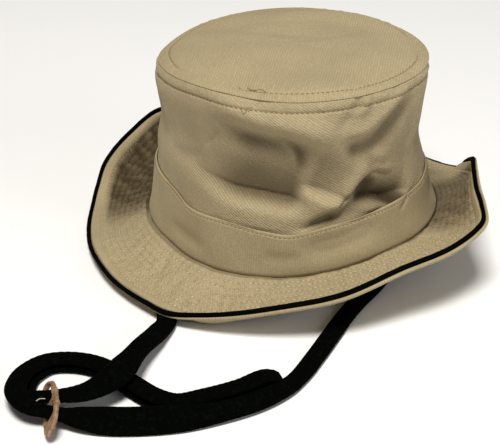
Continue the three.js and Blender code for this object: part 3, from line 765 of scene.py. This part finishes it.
LIP = [  # the lip under the piping and the seat behind it: out and up from the brim's edge
    (-2.6, -2.7), (-1.2, -3.5), (0.2, -3.9), (1.3, -3.6), (1.9, -2.8), (1.7, -2.0), (0.9, -1.6),
    (-0.4, -1.6), (-1.4, -1.1), (-1.75, -0.2), (-1.9, 0.55),
]
LIP_FROM, LIP_ROOT = -1.2, -1.5      # points as low as the first hang down from the second
EDGE_ZONE = 12.0        # the top ply's columns lie closer together within this distance of its edge


def top_shares(angle):
    """The shares of the way out at which the top ply's columns lie, from its edge inward."""
    width = brim_width(angle)
    near = 1 - np.linspace(1.6, EDGE_ZONE, 24)[None, :] / width
    far = (1 - EDGE_ZONE / width) * np.linspace(0.985, 0.0, 62)[None, :]
    return np.concatenate([near, far], 1)


def brim_grid(angle):
    """The brim's section: under face outward, the lip under the piping, the seat behind it, the
    top ply inward, and the root that runs in under the crown."""
    a = angle[:, None]
    under = brim_point(a, np.linspace(0.0, 0.93, 26)[None, :], -BRIM_UNDER)
    ones = np.ones_like(a)
    hang = lip_hang(a)
    edge = [brim_point(a, ones, lift * ones, out * ones) if lift > LIP_FROM else
            brim_point(a, ones, LIP_ROOT + (lift - LIP_ROOT) * hang, min(out, 0) + max(out, 0) * hang)
            for out, lift in LIP]
    root = crown_outline(a, 0.0) - CLOTH
    base = around(CROWN, "base", a) - SEAM_GAP
    inside = [polar(a, root, base), polar(a, root, base - BRIM_TOP - BRIM_UNDER)]
    return np.concatenate([under, *edge, brim_top(a, top_shares(a)), *inside], 1)


def hollow_painted_shade(angle, share):
    """How much painted shade darkens the brim in its hollows left and right of the crown, in broad
    streaks.
    """
    left = np.exp(-(((angle - 151 + 8 * share) / 36) ** 6))
    left = left * soft_step((0.92 + 0.004 * (150 - angle) - share) / 0.14)
    right = np.exp(-((turn_from(angle, 350) / 22) ** 6)) * soft_step((0.93 - share) / 0.3)
    streaks = 0.5 + 0.5 * np.cos(1.1 * angle + 9 * share) * np.cos(0.43 * angle - 4 * share)
    return (left + 0.8 * right) * (0.78 + 0.22 * streaks)


def brim_painted_shade(angle, share):
    """How much painted shade darkens the top ply: in its two hollows, and in the dip along each stitch
    row.
    """
    in_rows = 0.42 * soft_step(1 - quilting(angle, share) / 0.62)
    return np.clip(hollow_painted_shade(angle, share) + in_rows, 0, 1)


def brim_painted_shade_grid(angle, grid):
    """The painted shade at every point of the brim's section: only its top ply's points have any, and the
    two points of the root come after them."""
    shares = top_shares(angle[:, None])
    painted_shade_and_wear = np.zeros(grid.shape[:2])
    painted_shade_and_wear[:, -2 - shares.shape[1]:-2] = brim_painted_shade(angle[:, None], shares)
    return painted_shade_and_wear


grid = brim_grid(BRIM_TURN)
section = running_length(grid[0])
brim_round = np.arange(BRIM_TURNS + 1) / BRIM_TURNS * 2 * np.pi * BRIM_MIDDLE
brim_cloth = ring_piece("brim_cloth", grid, brim_round, np.r_[section, section[-1] + 2],
                        brim_painted_shade_grid(BRIM_TURN, grid))

# %% [markdown]
# ## The piping
# A cord in a strip of black cloth, caught between the two plies all round the edge. It is a tube
# along the brim's edge, a little wrinkled where the strip is drawn round the bends.

# %% Piping
PIPING_SIDES = 12


def tube(line, across, radius, sides=PIPING_SIDES):
    """Rings round a closed line: a circle in the plane of the line's upright and its outward
    direction, wrinkled a little so that it isn't a perfect pipe."""
    turn = np.radians(np.arange(sides) * 360 / sides)
    up = np.array([0, 0, 1.0])
    ring = np.cos(turn)[None, :, None] * across[:, None] + np.sin(turn)[None, :, None] * up
    return line[:, None] + radius[:, None, None] * ring


edge_line = polar(BRIM_TURN, around(BRIM, "reach", BRIM_TURN), around(BRIM, "rise", BRIM_TURN))
turn = np.radians(BRIM_TURN)
wrinkle = 0.04 * np.cos(57 * turn + 2 * np.cos(7 * turn)) + 0.03 * np.cos(101 * turn)
fuller = 0.4 * bell(BRIM_TURN - 282, 38) - 0.12    # it bulges most in front
grid = tube(edge_line, polar(BRIM_TURN, 1.0, 0.0), PIPING_RADIUS + wrinkle + fuller)
girth = np.arange(PIPING_SIDES + 1) / PIPING_SIDES * 2 * np.pi * PIPING_RADIUS
piping_binding = ring_piece("piping_binding", grid, brim_round, girth)

# %% [markdown]
# ## Stitches
# Every stitch that shows is a short thread of its own: a few rings of points whose ends dive into
# the cloth. One function lays a whole row of them along any line on a surface, as one mesh. The
# thread is drawn about twice as thick as the usual 0.3 mm, so that it still shows from a metre.
# Threads that run through the brim's hollows are darkened with the same painted shade as the cloth under
# them.

# %% Rows of stitches
STITCH_PITCH = 3.0
STITCH_LENGTH = 2.1
THREAD_RADIUS = 0.3
CROWN_THREAD = 0.36     # the crown's rows are drawn a little thicker
STITCH_SIDES = 5


def stitch_points(line, outward, pitch=STITCH_PITCH, length=STITCH_LENGTH, radius=THREAD_RADIUS,
                  start=0.0):
    """Points (stitch, ring, side) of a row: each ring is a circle square to the line, the middle
    rings lie on the cloth and the end rings, half as thick, lie in it."""
    at = running_length(line)
    count = int((at[-1] - start) / pitch)
    middle = start + (np.arange(count) + 0.5) * pitch
    along = middle[:, None] + np.array([-0.5, -0.25, 0.25, 0.5]) * length
    lift = radius * np.array([-0.7, 0.5, 0.5, -0.7])
    thick = radius * np.array([0.6, 1.0, 1.0, 0.6])
    centre = np.stack([np.interp(along, at, axis) for axis in line.T], -1)
    out = np.stack([np.interp(along, at, axis) for axis in outward.T], -1)
    out /= np.linalg.norm(out, axis=-1, keepdims=True)
    run = centre[:, -1:] - centre[:, :1]
    side = np.cross(out, run / np.linalg.norm(run, axis=-1, keepdims=True))
    turn = np.radians(np.arange(STITCH_SIDES) * 360 / STITCH_SIDES)
    circle = np.cos(turn)[:, None] * side[..., None, :] + np.sin(turn)[:, None] * out[..., None, :]
    return (centre + lift[:, None] * out)[..., None, :] + thick[:, None, None] * circle


def stitch_piece(name, rows, painted_shade_and_wear=None):
    """All the stitches of several rows as one mesh of open tubes with closed ends."""
    points = np.concatenate([row.reshape(-1, 4 * STITCH_SIDES, 3) for row in rows])
    i, k = quads(4, STITCH_SIDES, around_rows=False)
    walls = (i * STITCH_SIDES + k % STITCH_SIDES)[:, ::-1]
    first = np.arange(len(points))[:, None, None] * 4 * STITCH_SIDES
    faces = (first + walls).reshape(-1, 4)
    cap = np.stack([np.arange(STITCH_SIDES), np.arange(STITCH_SIDES)[::-1] + 3 * STITCH_SIDES])
    caps = (first + cap).reshape(-1, STITCH_SIDES)
    return piece(name, points.reshape(-1, 3), [faces, caps], painted_shade_and_wear=painted_shade_and_wear)


TACKS = [  # where a seam was started again: from and to angle, how far in on the tip (less than
           # zero is down the side), swing
    (250.5, 259, 8.2, 0.9), (253, 259.5, 6.6, 0.7), (247, 256, 7.4, 0.5), (251, 254.5, -7.2, 0.9),
]
ROUND = np.linspace(0, 360, 1441)
seam_height = around(CROWN, "seam", ROUND)
outward = polar(ROUND, 1.0, 0.0)
side_line = side_point(ROUND, seam_height - SIDE_STITCH)
rim = crown_outline(ROUND, 1.0)
tip_line = tip_point(ROUND, 1 - TIP_STITCH / rim, TIP_CLOTH)
upright = np.broadcast_to([0, 0, 1.0], tip_line.shape)
base, top = around(CROWN, "base", ROUND), around(CROWN, "band_top", ROUND)
band_line = band_point(ROUND, 1 - BAND_STITCH / (top - base), BAND_GAP + BAND_CLOTH)
crown_rows = [stitch_points(side_line, outward, radius=CROWN_THREAD),
              stitch_points(tip_line, upright, radius=CROWN_THREAD)]
for first, last, inset, swing in TACKS:
    at = np.linspace(first, last, 60)
    sway = inset + swing * np.cos(np.linspace(0, 9, 60))
    tack = tip_point(at, 1 - sway / crown_outline(at, 1.0), TIP_CLOTH)
    if inset < 0:
        tack = side_point(at, around(CROWN, "seam", at) + sway)
    out = polar(at, 1.0, 0.0) if inset < 0 else np.broadcast_to([0, 0, 1.0], tack.shape)
    crown_rows.append(stitch_points(tack, out, pitch=1.9, length=2.0, radius=0.34))
crown_stitches = stitch_piece("crown_stitches", crown_rows)
band_stitches = stitch_piece("band_stitches", [stitch_points(band_line, outward, pitch=2.8)])
rows, rows_painted_shade = [], []
for row in range(QUILT_ROWS):
    share = row_share(ROUND, row)
    line, above = brim_top(ROUND, share, 0.12), brim_top(ROUND, share, 1.0)
    rows.append(stitch_points(line, above - line, pitch=3.2, length=2.4, start=0.37 * row))
    turn = np.degrees(np.arctan2(rows[-1][..., 1], rows[-1][..., 0])) % 360
    # painted shade: each stitch in a brim hollow darkens as the cloth under it does
    rows_painted_shade.append(np.clip(1.1 * hollow_painted_shade(turn, row_share(turn, row)), 0, 1).ravel())
brim_stitches = stitch_piece("brim_stitches", rows, np.concatenate(rows_painted_shade))

# %% [markdown]
# ## The lace's braid
# A flat tubular braid: a rounded, flattened section carried along the route, its width kept level.
# The strands cross in a herringbone, which is a small wave in the thickness whose phase runs one
# way with the distance from the middle. Where the lace turns over at its fold the width stays
# level too, so it rolls over itself like a ribbon.

# %% Chin lace
PLAIT = 3.6             # length of one herringbone wave along the lace


def level_frames(line):
    """Unit vectors along the line, across it kept level, and square to both. Where the line stands
    on end the across vector is carried over from its neighbours."""
    run = np.gradient(line, axis=0)
    run /= np.linalg.norm(run, axis=1, keepdims=True)
    across = np.cross([0, 0, 1.0], run)
    size = np.linalg.norm(across, axis=1)
    good = np.flatnonzero(size > 0.3)
    kept = across[good] / size[good, None]
    turned = np.sign((kept[1:] * kept[:-1]).sum(1))
    kept *= np.cumprod(np.r_[1, turned])[:, None]
    index = np.arange(len(line))
    across = np.stack([np.interp(index, good, axis) for axis in kept.T], 1)
    across -= (across * run).sum(1, keepdims=True) * run
    across /= np.linalg.norm(across, axis=1, keepdims=True)
    return run, across, np.cross(across, run)


def rolled_frames(line, roll):
    """Level frames turned about the line, so that the edge further from the viewer rises."""
    run, across, _ = level_frames(line)
    turn = (roll * np.sign(np.cross(across, run)[:, 2]))[:, None]
    across = across * np.cos(turn) + np.cross(run, across) * np.sin(turn)
    return run, across, np.cross(across, run)


def lace_grid(line, at, roll, wider, sides=24):
    """Rings of a flattened oval, |x/a|^3.2 + |z/b|^2.4 = 1 in the ring's plane, with the plait."""
    _, across, face = rolled_frames(line, roll)
    turn = np.radians((np.arange(sides) + 0.5) * 360 / sides)
    c, s = np.cos(turn), np.sin(turn)
    wide = LACE_WIDTH / 2 * np.sign(c) * np.abs(c) ** (2 / 3.2)
    thick = LACE_THICKNESS / 2 * np.sign(s) * np.abs(s) ** (2 / 2.4)
    plait = np.cos(2 * np.pi * (at[:, None] / PLAIT + np.abs(wide) / 4.4))
    plait = 0.13 * plait * np.sign(s) * np.abs(s) ** 0.5
    ribs = 0.1 * np.cos(2 * np.pi * wide / 2.2) * np.sign(s)
    thick = (thick - 0.15 * np.sign(s) + plait + ribs)[..., None]
    reach = (wider[:, None] * wide)[..., None]
    return line[:, None] + reach * across[:, None] + thick * face[:, None], wide


def lace_piece(name, line, at, roll, wider):
    """The braid as a tube with a closed end at each root."""
    grid, wide = lace_grid(line, at, roll, wider)
    rings, count = grid.shape[:2]
    i, k = quads(rings, count, around_rows=False)
    walls = (i * count + k % count)[:, ::-1]
    points = np.vstack([grid.reshape(-1, 3), grid[0].mean(0), grid[-1].mean(0)])
    side, after = np.arange(count), (np.arange(count) + 1) % count
    last = (rings - 1) * count
    start = np.stack([side, after, np.full(count, len(points) - 2)], 1)
    end = np.stack([last + after, last + side, np.full(count, len(points) - 1)], 1)
    flat = np.zeros((len(points), 2))
    flat[: rings * count, 0] = np.repeat(at, count)
    flat[: rings * count, 1] = np.tile(wide, rings)
    corners = np.concatenate([walls.ravel(), start.ravel(), end.ravel()])
    return piece(name, points, [walls, start, end], flat[corners])


lace_braid = lace_piece("lace_braid", LACE_LINE, LACE_AT, LACE_ROLL, LACE_WIDER)

# %% [markdown]
# ## The slide
# A tab cut from thick leather with a knife: two slots that the strands pull through, and an
# outline that isn't quite even. It is drawn as a flat curve with two holes, given its thickness,
# turned into small even cells, and then worn: its edge and faces are pushed in and out by a slow
# wave, and it is bent a little by the pull of the lace.

# %% Leather slide
SLIDE_LENGTH, SLIDE_WIDTH, SLIDE_THICKNESS = 44.5, 15.2, 2.2
SLIDE_FORWARD = 4.8     # how far it has slipped towards the front from midway between the strands
SLOT_LENGTH, SLOT_WIDTH, SLOT_AT = 14.2, 8.6, 7.95
SLIDE_LEAN = 30.0       # degrees that its face leans back on the lace
SLIDE_CELL = 0.55       # size of its small even cells
SLIDE_BOW = 1.6         # how far its ends are bent back by the pull


def slide_outline():
    """Three closed outlines in millimetres: the tab, which narrows to its ends, and two slots."""
    turn = np.radians(np.arange(0, 360, 6))
    c, s = np.cos(turn), np.sin(turn)
    tab_x = SLIDE_LENGTH / 2 * np.sign(c) * np.abs(c) ** 0.85
    tab_y = SLIDE_WIDTH / 2 * np.sign(s) * np.abs(s) ** 0.6 * (1 + 0.05 * np.cos(3 * turn + 1))
    tab_x = tab_x + 0.5 * np.cos(7 * turn)
    slot_x = SLOT_LENGTH / 2 * np.sign(c) * np.abs(c) ** 0.5
    slot_y = SLOT_WIDTH / 2 * np.sign(s) * np.abs(s) ** 0.5
    flat = np.zeros(len(turn))
    tab = np.stack([tab_x, tab_y, flat], 1)
    slots = [np.stack([slot_x + at - SLIDE_FORWARD, slot_y, flat], 1) for at in (-SLOT_AT, SLOT_AT)]
    return [tab, *slots]


def slide_frame():
    """The slide's middle and its three directions: along the line from slot to slot, up its face,
    and out of its face, which leans on the lace."""
    back, front = (np.array(p, float) for p in LACE_ROUTE if p[2] == SLOT_HEIGHT)
    along = (front - back) / np.linalg.norm(front - back)
    face = np.cross([0, 0, 1.0], along)
    face /= np.linalg.norm(face)
    lean = math.radians(-SLIDE_LEAN)
    face = face * math.cos(lean) + np.cross(along, face) * math.sin(lean)
    middle = (back + front) / 2 + SLIDE_FORWARD * along
    return middle, np.stack([along, np.cross(face, along), face])


def slide_piece(name):
    """A filled curve made thick, remeshed in small cells, worn, bent and put in its place."""
    curve = bpy.data.curves.new(name, "CURVE")
    curve.dimensions, curve.fill_mode = "2D", "BOTH"
    curve.extrude = SLIDE_THICKNESS / 2
    for outline in slide_outline():
        spline = curve.splines.new("POLY")
        spline.points.add(len(outline) - 1)
        spline.points.foreach_set("co", np.column_stack([outline, np.ones(len(outline))]).ravel())
        spline.use_cyclic_u = True
    blank = bpy.data.objects.new(name, curve)
    bpy.context.scene.collection.objects.link(blank)
    mesh = bpy.data.meshes.new_from_object(blank.evaluated_get(bpy.context.evaluated_depsgraph_get()))
    bpy.data.objects.remove(blank)
    tab = bpy.data.objects.new(name, mesh)
    bpy.context.scene.collection.objects.link(tab)
    remesh = tab.modifiers.new("cells", "REMESH")
    remesh.mode, remesh.voxel_size = "VOXEL", SLIDE_CELL
    painted_shade_and_wear = bpy.data.meshes.new_from_object(tab.evaluated_get(bpy.context.evaluated_depsgraph_get()))
    tab.modifiers.clear()
    tab.data = painted_shade_and_wear
    bpy.data.meshes.remove(mesh)
    points = np.zeros(len(painted_shade_and_wear.vertices) * 3)
    painted_shade_and_wear.vertices.foreach_get("co", points)
    x, y, z = points.reshape(-1, 3).T
    z = z * (1 + 0.12 * np.cos(x / 2.9 + 1) * np.cos(y / 2.3))
    z = z + 0.25 * np.cos(x / 4.2) * np.cos(y / 3.7 + 1)
    y = y + 0.3 * np.cos(x / 1.9 + z) + 0.15 * np.cos(x / 0.9)
    z = z - SLIDE_BOW * (x / (SLIDE_LENGTH / 2)) ** 2
    middle, directions = slide_frame()
    placed = (middle + np.stack([x, y, z], 1) @ directions + HAT_SHIFT) * MM
    painted_shade_and_wear.vertices.foreach_set("co", placed.ravel())
    painted_shade_and_wear.polygons.foreach_set("use_smooth", np.ones(len(painted_shade_and_wear.polygons), bool))
    painted_shade_and_wear.update()
    print(f"{name}: {len(painted_shade_and_wear.vertices)} points")
    return tab


slide_leather = slide_piece("slide_leather")

# %% [markdown]
# ## Loose threads
# Two pale threads have worked loose at the slide. Each is a thin tube along a short line.

# %% Loose threads
LOOSE_SIDES = 6


def thread_grid(points, radius, sides=LOOSE_SIDES):
    """A thin round tube along a smooth line, thinner at its first and last rings."""
    line, _ = evenly(smooth_line(points, 10), 0.6)
    _, across, face = level_frames(line)
    turn = np.radians(np.arange(sides) * 360 / sides)
    ring = np.cos(turn)[None, :, None] * across[:, None] + np.sin(turn)[None, :, None] * face[:, None]
    size = radius * np.clip(np.minimum(np.arange(len(line)), np.arange(len(line))[::-1]) + 0.3, 0, 1)
    return line[:, None] + size[:, None, None] * ring


def threads_piece(name, lines, radius):
    """Several threads as one mesh."""
    points, faces, first = [], [], 0
    for line in lines:
        grid = thread_grid(line, radius)
        i, k = quads(*grid.shape[:2], around_rows=False)
        faces += [(first + i * LOOSE_SIDES + k % LOOSE_SIDES)[:, ::-1]]
        points += [grid.reshape(-1, 3)]
        first += len(points[-1])
    return piece(name, np.concatenate(points), faces)


loose_threads = threads_piece("loose_threads", [
    [(-129, -226, 9), (-132, -227, 9.5), (-135, -229, 8.5), (-138, -229, 9.5), (-141, -228, 9)],
    [(-128, -231, 8), (-130, -234, 9), (-132, -238, 9), (-131, -241, 7)],
], 0.28)

# %% [markdown]
# ## Finishes
# The colours are given as sRGB hex values and turned to linear light, because that is what the
# shader works in. Patterns on cloth follow each piece's own map, which is laid out in
# millimetres, and slow changes of tone follow Object coordinates.

# %% Material helpers
def linear(hex_colour):
    """An sRGB hex colour as linear RGBA: ((c + 0.055) / 1.055) ** 2.4, or c / 12.92 near black."""
    c = np.array([int(hex_colour[i:i + 2], 16) for i in (1, 3, 5)]) / 255
    return tuple(np.where(c > 0.04045, ((c + 0.055) / 1.055) ** 2.4, c / 12.92)) + (1.0,)


def add(tree, kind, inputs=None, **settings):
    """A node with its settings. Each input is a value or another node's output to link."""
    made = tree.nodes.new(kind)
    for key, value in settings.items():
        setattr(made, key, value)
    for key, value in (inputs or {}).items():
        if isinstance(value, bpy.types.NodeSocket):
            tree.links.new(value, made.inputs[key])
        else:
            made.inputs[key].default_value = value
    return made


def blank_material(name):
    """A material with only its Principled shader and output: (material, tree, shader)."""
    material = bpy.data.materials.new(name)
    material.use_nodes = True
    tree = material.node_tree
    tree.nodes.clear()
    output = add(tree, "ShaderNodeOutputMaterial")
    shader = add(tree, "ShaderNodeBsdfPrincipled")
    tree.links.new(shader.outputs["BSDF"], output.inputs["Surface"])
    return material, tree, shader


def tones(tree, colour, layers):
    """A colour with tints laid over it in turn: each layer gives its share (a number or another
    node's output), its tint and how the two are blended."""
    for share, tint, blend in layers:
        laid = add(tree, "ShaderNodeMix", {0: share, 6: colour, 7: linear(tint)},
                   data_type="RGBA", blend_type=blend)
        colour = laid.outputs[2]
    return colour


WAVE_PERIOD = 2 * math.pi / 20      # a wave texture of scale 1 repeats after this distance
SHADE_TINT = "#58492F"              # what cloth and thread are multiplied by where they are darkened


# %% [markdown]
# ### Cotton twill
# Piece-dyed khaki cotton, woven so that each thread floats over two and steps along by one, which
# makes fine slanting ribs. Such ribs are usually about 0.6 mm apart, too fine to show from here, so
# they are drawn two to three times as coarse. The surface is matt, with a little sheen from loose
# fibre.

# %% Cotton twill
def cotton_twill(name, light, dark, slant, rib_mm, rib_share, ribs_up):
    """Ribs of a given slant and spacing, broken up by slubs, over slow changes of tone."""
    material, tree, shader = blank_material(name)
    cloth = add(tree, "ShaderNodeUVMap", uv_map="cloth_mm").outputs["UV"]
    place = add(tree, "ShaderNodeTexCoord").outputs["Object"]
    turned = add(tree, "ShaderNodeMapping", {"Vector": cloth, "Rotation": (0, 0, math.radians(slant))})
    ribs = add(tree, "ShaderNodeTexWave", {
        "Vector": turned.outputs[0], "Scale": WAVE_PERIOD / rib_mm, "Distortion": 1.6, "Detail": 2.0,
        "Detail Scale": 1.2}, wave_type="BANDS", bands_direction="Y")
    stretched = add(tree, "ShaderNodeMapping", {"Vector": turned.outputs[0], "Scale": (0.16, 1.0, 1.0)})
    slubs = add(tree, "ShaderNodeTexNoise", {
        "Vector": stretched.outputs[0], "Scale": 0.55, "Detail": 2.0})
    grain = add(tree, "ShaderNodeTexNoise", {"Vector": place, "Scale": 900.0, "Detail": 1.0})
    tone = add(tree, "ShaderNodeTexNoise", {"Vector": place, "Scale": 24.0, "Detail": 3.0})
    weave = add(tree, "ShaderNodeMath", {
        0: ribs.outputs["Fac"], 1: slubs.outputs["Fac"]}, operation="MULTIPLY")
    shade = add(tree, "ShaderNodeMapRange", {
        "Value": weave.outputs[0], "From Min": 0.1, "From Max": 0.55, "To Min": 0.0, "To Max": rib_share})
    grainy = add(tree, "ShaderNodeMapRange", {
        "Value": grain.outputs["Fac"], "From Min": 0.3, "From Max": 0.7, "To Min": 0.0, "To Max": 0.55})
    slow = add(tree, "ShaderNodeMapRange", {
        "Value": tone.outputs["Fac"], "From Min": 0.35, "From Max": 0.65, "To Min": 0.0, "To Max": 0.34})
    # painted shade: the mesh's point attribute multiplies the colour by SHADE_TINT
    darkened = add(tree, "ShaderNodeAttribute", attribute_name="painted_shade_and_wear")
    colour = tones(tree, linear(light), [
        (0.5, dark, "MIX"), (shade.outputs[0], light, "MIX"), (grainy.outputs[0], dark, "MIX"),
        (slow.outputs[0], dark, "MIX"), (darkened.outputs["Fac"], SHADE_TINT, "MULTIPLY")])
    tree.links.new(colour, shader.inputs["Base Color"])
    relief = add(tree, "ShaderNodeMath", {0: weave.outputs[0], 1: grain.outputs["Fac"]}, operation="ADD")
    bumped = add(tree, "ShaderNodeBump", {
        "Height": relief.outputs[0], "Strength": ribs_up, "Distance": 0.00035})
    tree.links.new(bumped.outputs[0], shader.inputs["Normal"])
    shader.inputs["Roughness"].default_value = 0.92
    shader.inputs["Specular IOR Level"].default_value = 0.25
    shader.inputs["Sheen Weight"].default_value = 0.12
    shader.inputs["Sheen Roughness"].default_value = 0.6
    shader.inputs["Sheen Tint"].default_value = linear("#E8DAB8")
    return material


KHAKI_LIGHT, KHAKI_DARK = "#BAAA88", "#897B5D"
side_twill = cotton_twill("cotton_twill_side", KHAKI_LIGHT, KHAKI_DARK, 32, 1.3, 0.85, 0.8)
tip_twill = cotton_twill("cotton_twill_tip", KHAKI_LIGHT, KHAKI_DARK, -83, 1.6, 0.75, 0.6)
band_twill = cotton_twill("cotton_twill_band", KHAKI_LIGHT, KHAKI_DARK, -88, 1.4, 0.4, 0.35)
brim_twill = cotton_twill("cotton_twill_brim", KHAKI_LIGHT, KHAKI_DARK, 62, 1.3, 0.6, 0.7)


# %% [markdown]
# ### Thread, binding and braid
# The sewing thread is mercerised cotton with a soft lustre: a shade lighter than the cloth on the brim,
# and dark brown on the crown and the band, where its darkness also paints the shade in the stitch holes.
# The piping's binding is plain-woven black cotton, and the lace is a soft black acrylic braid, whose
# plait shows only as a faint difference between its strands.

# %% Thread, binding and braid
def sewing_thread(name, colour):
    """Mercerised cotton: smooth and slightly lustrous, its tone a little uneven."""
    material, tree, shader = blank_material(name)
    place = add(tree, "ShaderNodeTexCoord").outputs["Object"]
    uneven = add(tree, "ShaderNodeTexNoise", {"Vector": place, "Scale": 400.0, "Detail": 1.0})
    # painted shade: the mesh's point attribute multiplies the colour by SHADE_TINT
    darkened = add(tree, "ShaderNodeAttribute", attribute_name="painted_shade_and_wear")
    colour = tones(tree, linear(colour), [
        (uneven.outputs["Fac"], "#8E7A50", "MIX"), (darkened.outputs["Fac"], SHADE_TINT, "MULTIPLY")])
    tree.links.new(colour, shader.inputs["Base Color"])
    shader.inputs["Roughness"].default_value = 0.6
    return material


def black_cloth(name, base, fleck, period_mm, flecks, roughness):
    """A black weave or plait: bands across and along the piece's own map, a few paler fibres."""
    material, tree, shader = blank_material(name)
    cloth = add(tree, "ShaderNodeUVMap", uv_map="cloth_mm").outputs["UV"]
    place = add(tree, "ShaderNodeTexCoord").outputs["Object"]
    scale = WAVE_PERIOD / period_mm
    across = add(tree, "ShaderNodeTexWave", {
        "Vector": cloth, "Scale": scale, "Distortion": 1.0}, bands_direction="DIAGONAL")
    along = add(tree, "ShaderNodeTexWave", {
        "Vector": cloth, "Scale": scale * 1.3, "Distortion": 1.0}, bands_direction="Y")
    weave = add(tree, "ShaderNodeMath", {
        0: across.outputs["Fac"], 1: along.outputs["Fac"]}, operation="MULTIPLY")
    fibre = add(tree, "ShaderNodeTexNoise", {"Vector": place, "Scale": 420.0, "Detail": 2.0})
    sparse = add(tree, "ShaderNodeMapRange", {
        "Value": fibre.outputs["Fac"], "From Min": 0.5, "From Max": 0.8, "To Min": 0.0, "To Max": flecks})
    colour = tones(tree, linear(base), [(sparse.outputs[0], fleck, "MIX")])
    tree.links.new(colour, shader.inputs["Base Color"])
    bumped = add(tree, "ShaderNodeBump", {
        "Height": weave.outputs[0], "Strength": 0.5, "Distance": 0.0003})
    tree.links.new(bumped.outputs[0], shader.inputs["Normal"])
    shader.inputs["Roughness"].default_value = roughness
    shader.inputs["Specular IOR Level"].default_value = 0.03
    return material


khaki_thread = sewing_thread("mercerised_thread_khaki", "#E4D5AE")
# brown thread and painted shade: its dark colour also stands for the shade in the stitch holes
brown_thread_painted_shade = sewing_thread("mercerised_thread_brown_painted_shade", "#6E5836")
pale_thread = sewing_thread("loose_thread_pale", "#D9D4CE")
binding = black_cloth("cotton_binding_black", "#030303", "#0B0A09", 0.9, 0.4, 0.9)
braid = black_cloth("acrylic_braid_black", "#010201", "#0E130F", 1.8, 0.35, 0.95)


# %% [markdown]
# ### Raw leather
# Vegetable-tanned split leather, cut with a knife and left raw: pinkish tan, with darker pores and
# scuffs, paler where its fibres stand up, and quite matt.

# %% Raw leather
def raw_leather(name):
    """Tan with brown pores (a cellular pattern), scuffs (noise) and a soft nap in the relief."""
    material, tree, shader = blank_material(name)
    place = add(tree, "ShaderNodeTexCoord").outputs["Object"]
    pores = add(tree, "ShaderNodeTexVoronoi", {"Vector": place, "Scale": 420.0})
    scuffs = add(tree, "ShaderNodeTexNoise", {"Vector": place, "Scale": 260.0, "Detail": 3.0})
    dots = add(tree, "ShaderNodeMapRange", {
        "Value": pores.outputs["Distance"], "From Min": 0.12, "From Max": 0.4,
        "To Min": 0.75, "To Max": 0.0})
    painted_shade_and_wear = add(tree, "ShaderNodeMapRange", {
        "Value": scuffs.outputs["Fac"], "From Min": 0.42, "From Max": 0.62, "To Min": 0.0, "To Max": 0.8})
    colour = tones(tree, linear("#7C5D42"), [
        (painted_shade_and_wear.outputs[0], "#A6876A", "MIX"), (dots.outputs[0], "#5E3A2A", "MIX")])
    tree.links.new(colour, shader.inputs["Base Color"])
    bumped = add(tree, "ShaderNodeBump", {
        "Height": scuffs.outputs["Fac"], "Strength": 0.7, "Distance": 0.0006})
    tree.links.new(bumped.outputs[0], shader.inputs["Normal"])
    shader.inputs["Roughness"].default_value = 0.8
    return material


leather = raw_leather("raw_leather_tan")

# %% [markdown]
# ## Each piece joins the frame
# A piece gets its finish, stands for its imported solid and rides on the one body, because nothing in a
# hat turns on a joint. The stitches stand for nothing: they are only sewn on.

# %% Join the frame
PIECES = [
    (side_cloth, side_twill, "khaki_twill", "crown_side"),
    (tip_cloth, tip_twill, "khaki_twill", "crown_tip"),
    (band_cloth, band_twill, "khaki_twill", "hat_band"),
    (brim_cloth, brim_twill, "khaki_twill", "brim"),
    (piping_binding, binding, "black_piping", "edge_piping"),
    (lace_braid, braid, "black_lace", "chin_lace"),
    (slide_leather, leather, "tan_leather", "lace_slide"),
    (crown_stitches, brown_thread_painted_shade, "khaki_twill", None),
    (band_stitches, brown_thread_painted_shade, "khaki_twill", None),
    (brim_stitches, khaki_thread, "khaki_twill", None),
    (loose_threads, pale_thread, None, None),
]
for made, finish, slot, node in PIECES:
    made.data.materials.clear()
    made.data.materials.append(finish)
    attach(made, "root")
    if node:
        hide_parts(node)

# %% [markdown]
# ## Table and light
# A plain white table that runs back out of sight. The key light is a large soft box in front and
# well above. A wider and much weaker one, low at the right of the front, lifts the shade there, and
# the pale room does the rest.

# %% Table and light
def table_top(name, size, colour):
    """One large flat square at z = 0 with an even matt finish."""
    mesh = bpy.data.meshes.new(name)
    half = size / 2
    corners = [(-half, -half, 0), (half, -half, 0), (half, half, 0), (-half, half, 0)]
    mesh.from_pydata(corners, [], [(0, 1, 2, 3)])
    top = bpy.data.objects.new(name, mesh)
    bpy.context.scene.collection.objects.link(top)
    material, _, shader = blank_material("matt_white_table")
    shader.inputs["Base Color"].default_value = linear(colour)
    shader.inputs["Roughness"].default_value = 0.9
    top.data.materials.append(material)
    return top


def soft_box(name, place, aim, size, power, colour):
    """A square area light at a place, facing a point."""
    data = bpy.data.lights.new(name, "AREA")
    data.shape, data.size, data.energy = "SQUARE", size, power
    data.color = linear(colour)[:3]
    light = bpy.data.objects.new(name, data)
    light.location = place
    light.rotation_euler = (Vector(aim) - Vector(place)).to_track_quat("-Z", "Y").to_euler()
    bpy.context.scene.collection.objects.link(light)
    return light


def from_direction(azimuth, elevation, distance):
    """A place in the room: azimuth in degrees from +X towards +Y, elevation above the table."""
    a, e = math.radians(azimuth), math.radians(elevation)
    flat = math.cos(e)
    return (distance * flat * math.cos(a), distance * flat * math.sin(a), distance * math.sin(e))


ROOM_LIGHT = 0.13       # how bright the pale room is beside the lamps
table_top("table_top", 12.0, "#EEEEEE")
soft_box("key_light", from_direction(-98, 66, 3.0), (0, 0, 0.06), 0.95, 104, "#FFFCF6")
soft_box("front_light", from_direction(-35, 20, 3.0), (0, 0, 0.05), 1.4, 22, "#FFFFFF")
world = bpy.data.worlds.new("pale_room")
world.use_nodes = True
room = world.node_tree.nodes["Background"]
room.inputs["Color"].default_value = (1, 1, 1, 1)
room.inputs["Strength"].default_value = ROOM_LIGHT
bpy.context.scene.world = world
bpy.context.scene.view_settings.view_transform = "Standard"
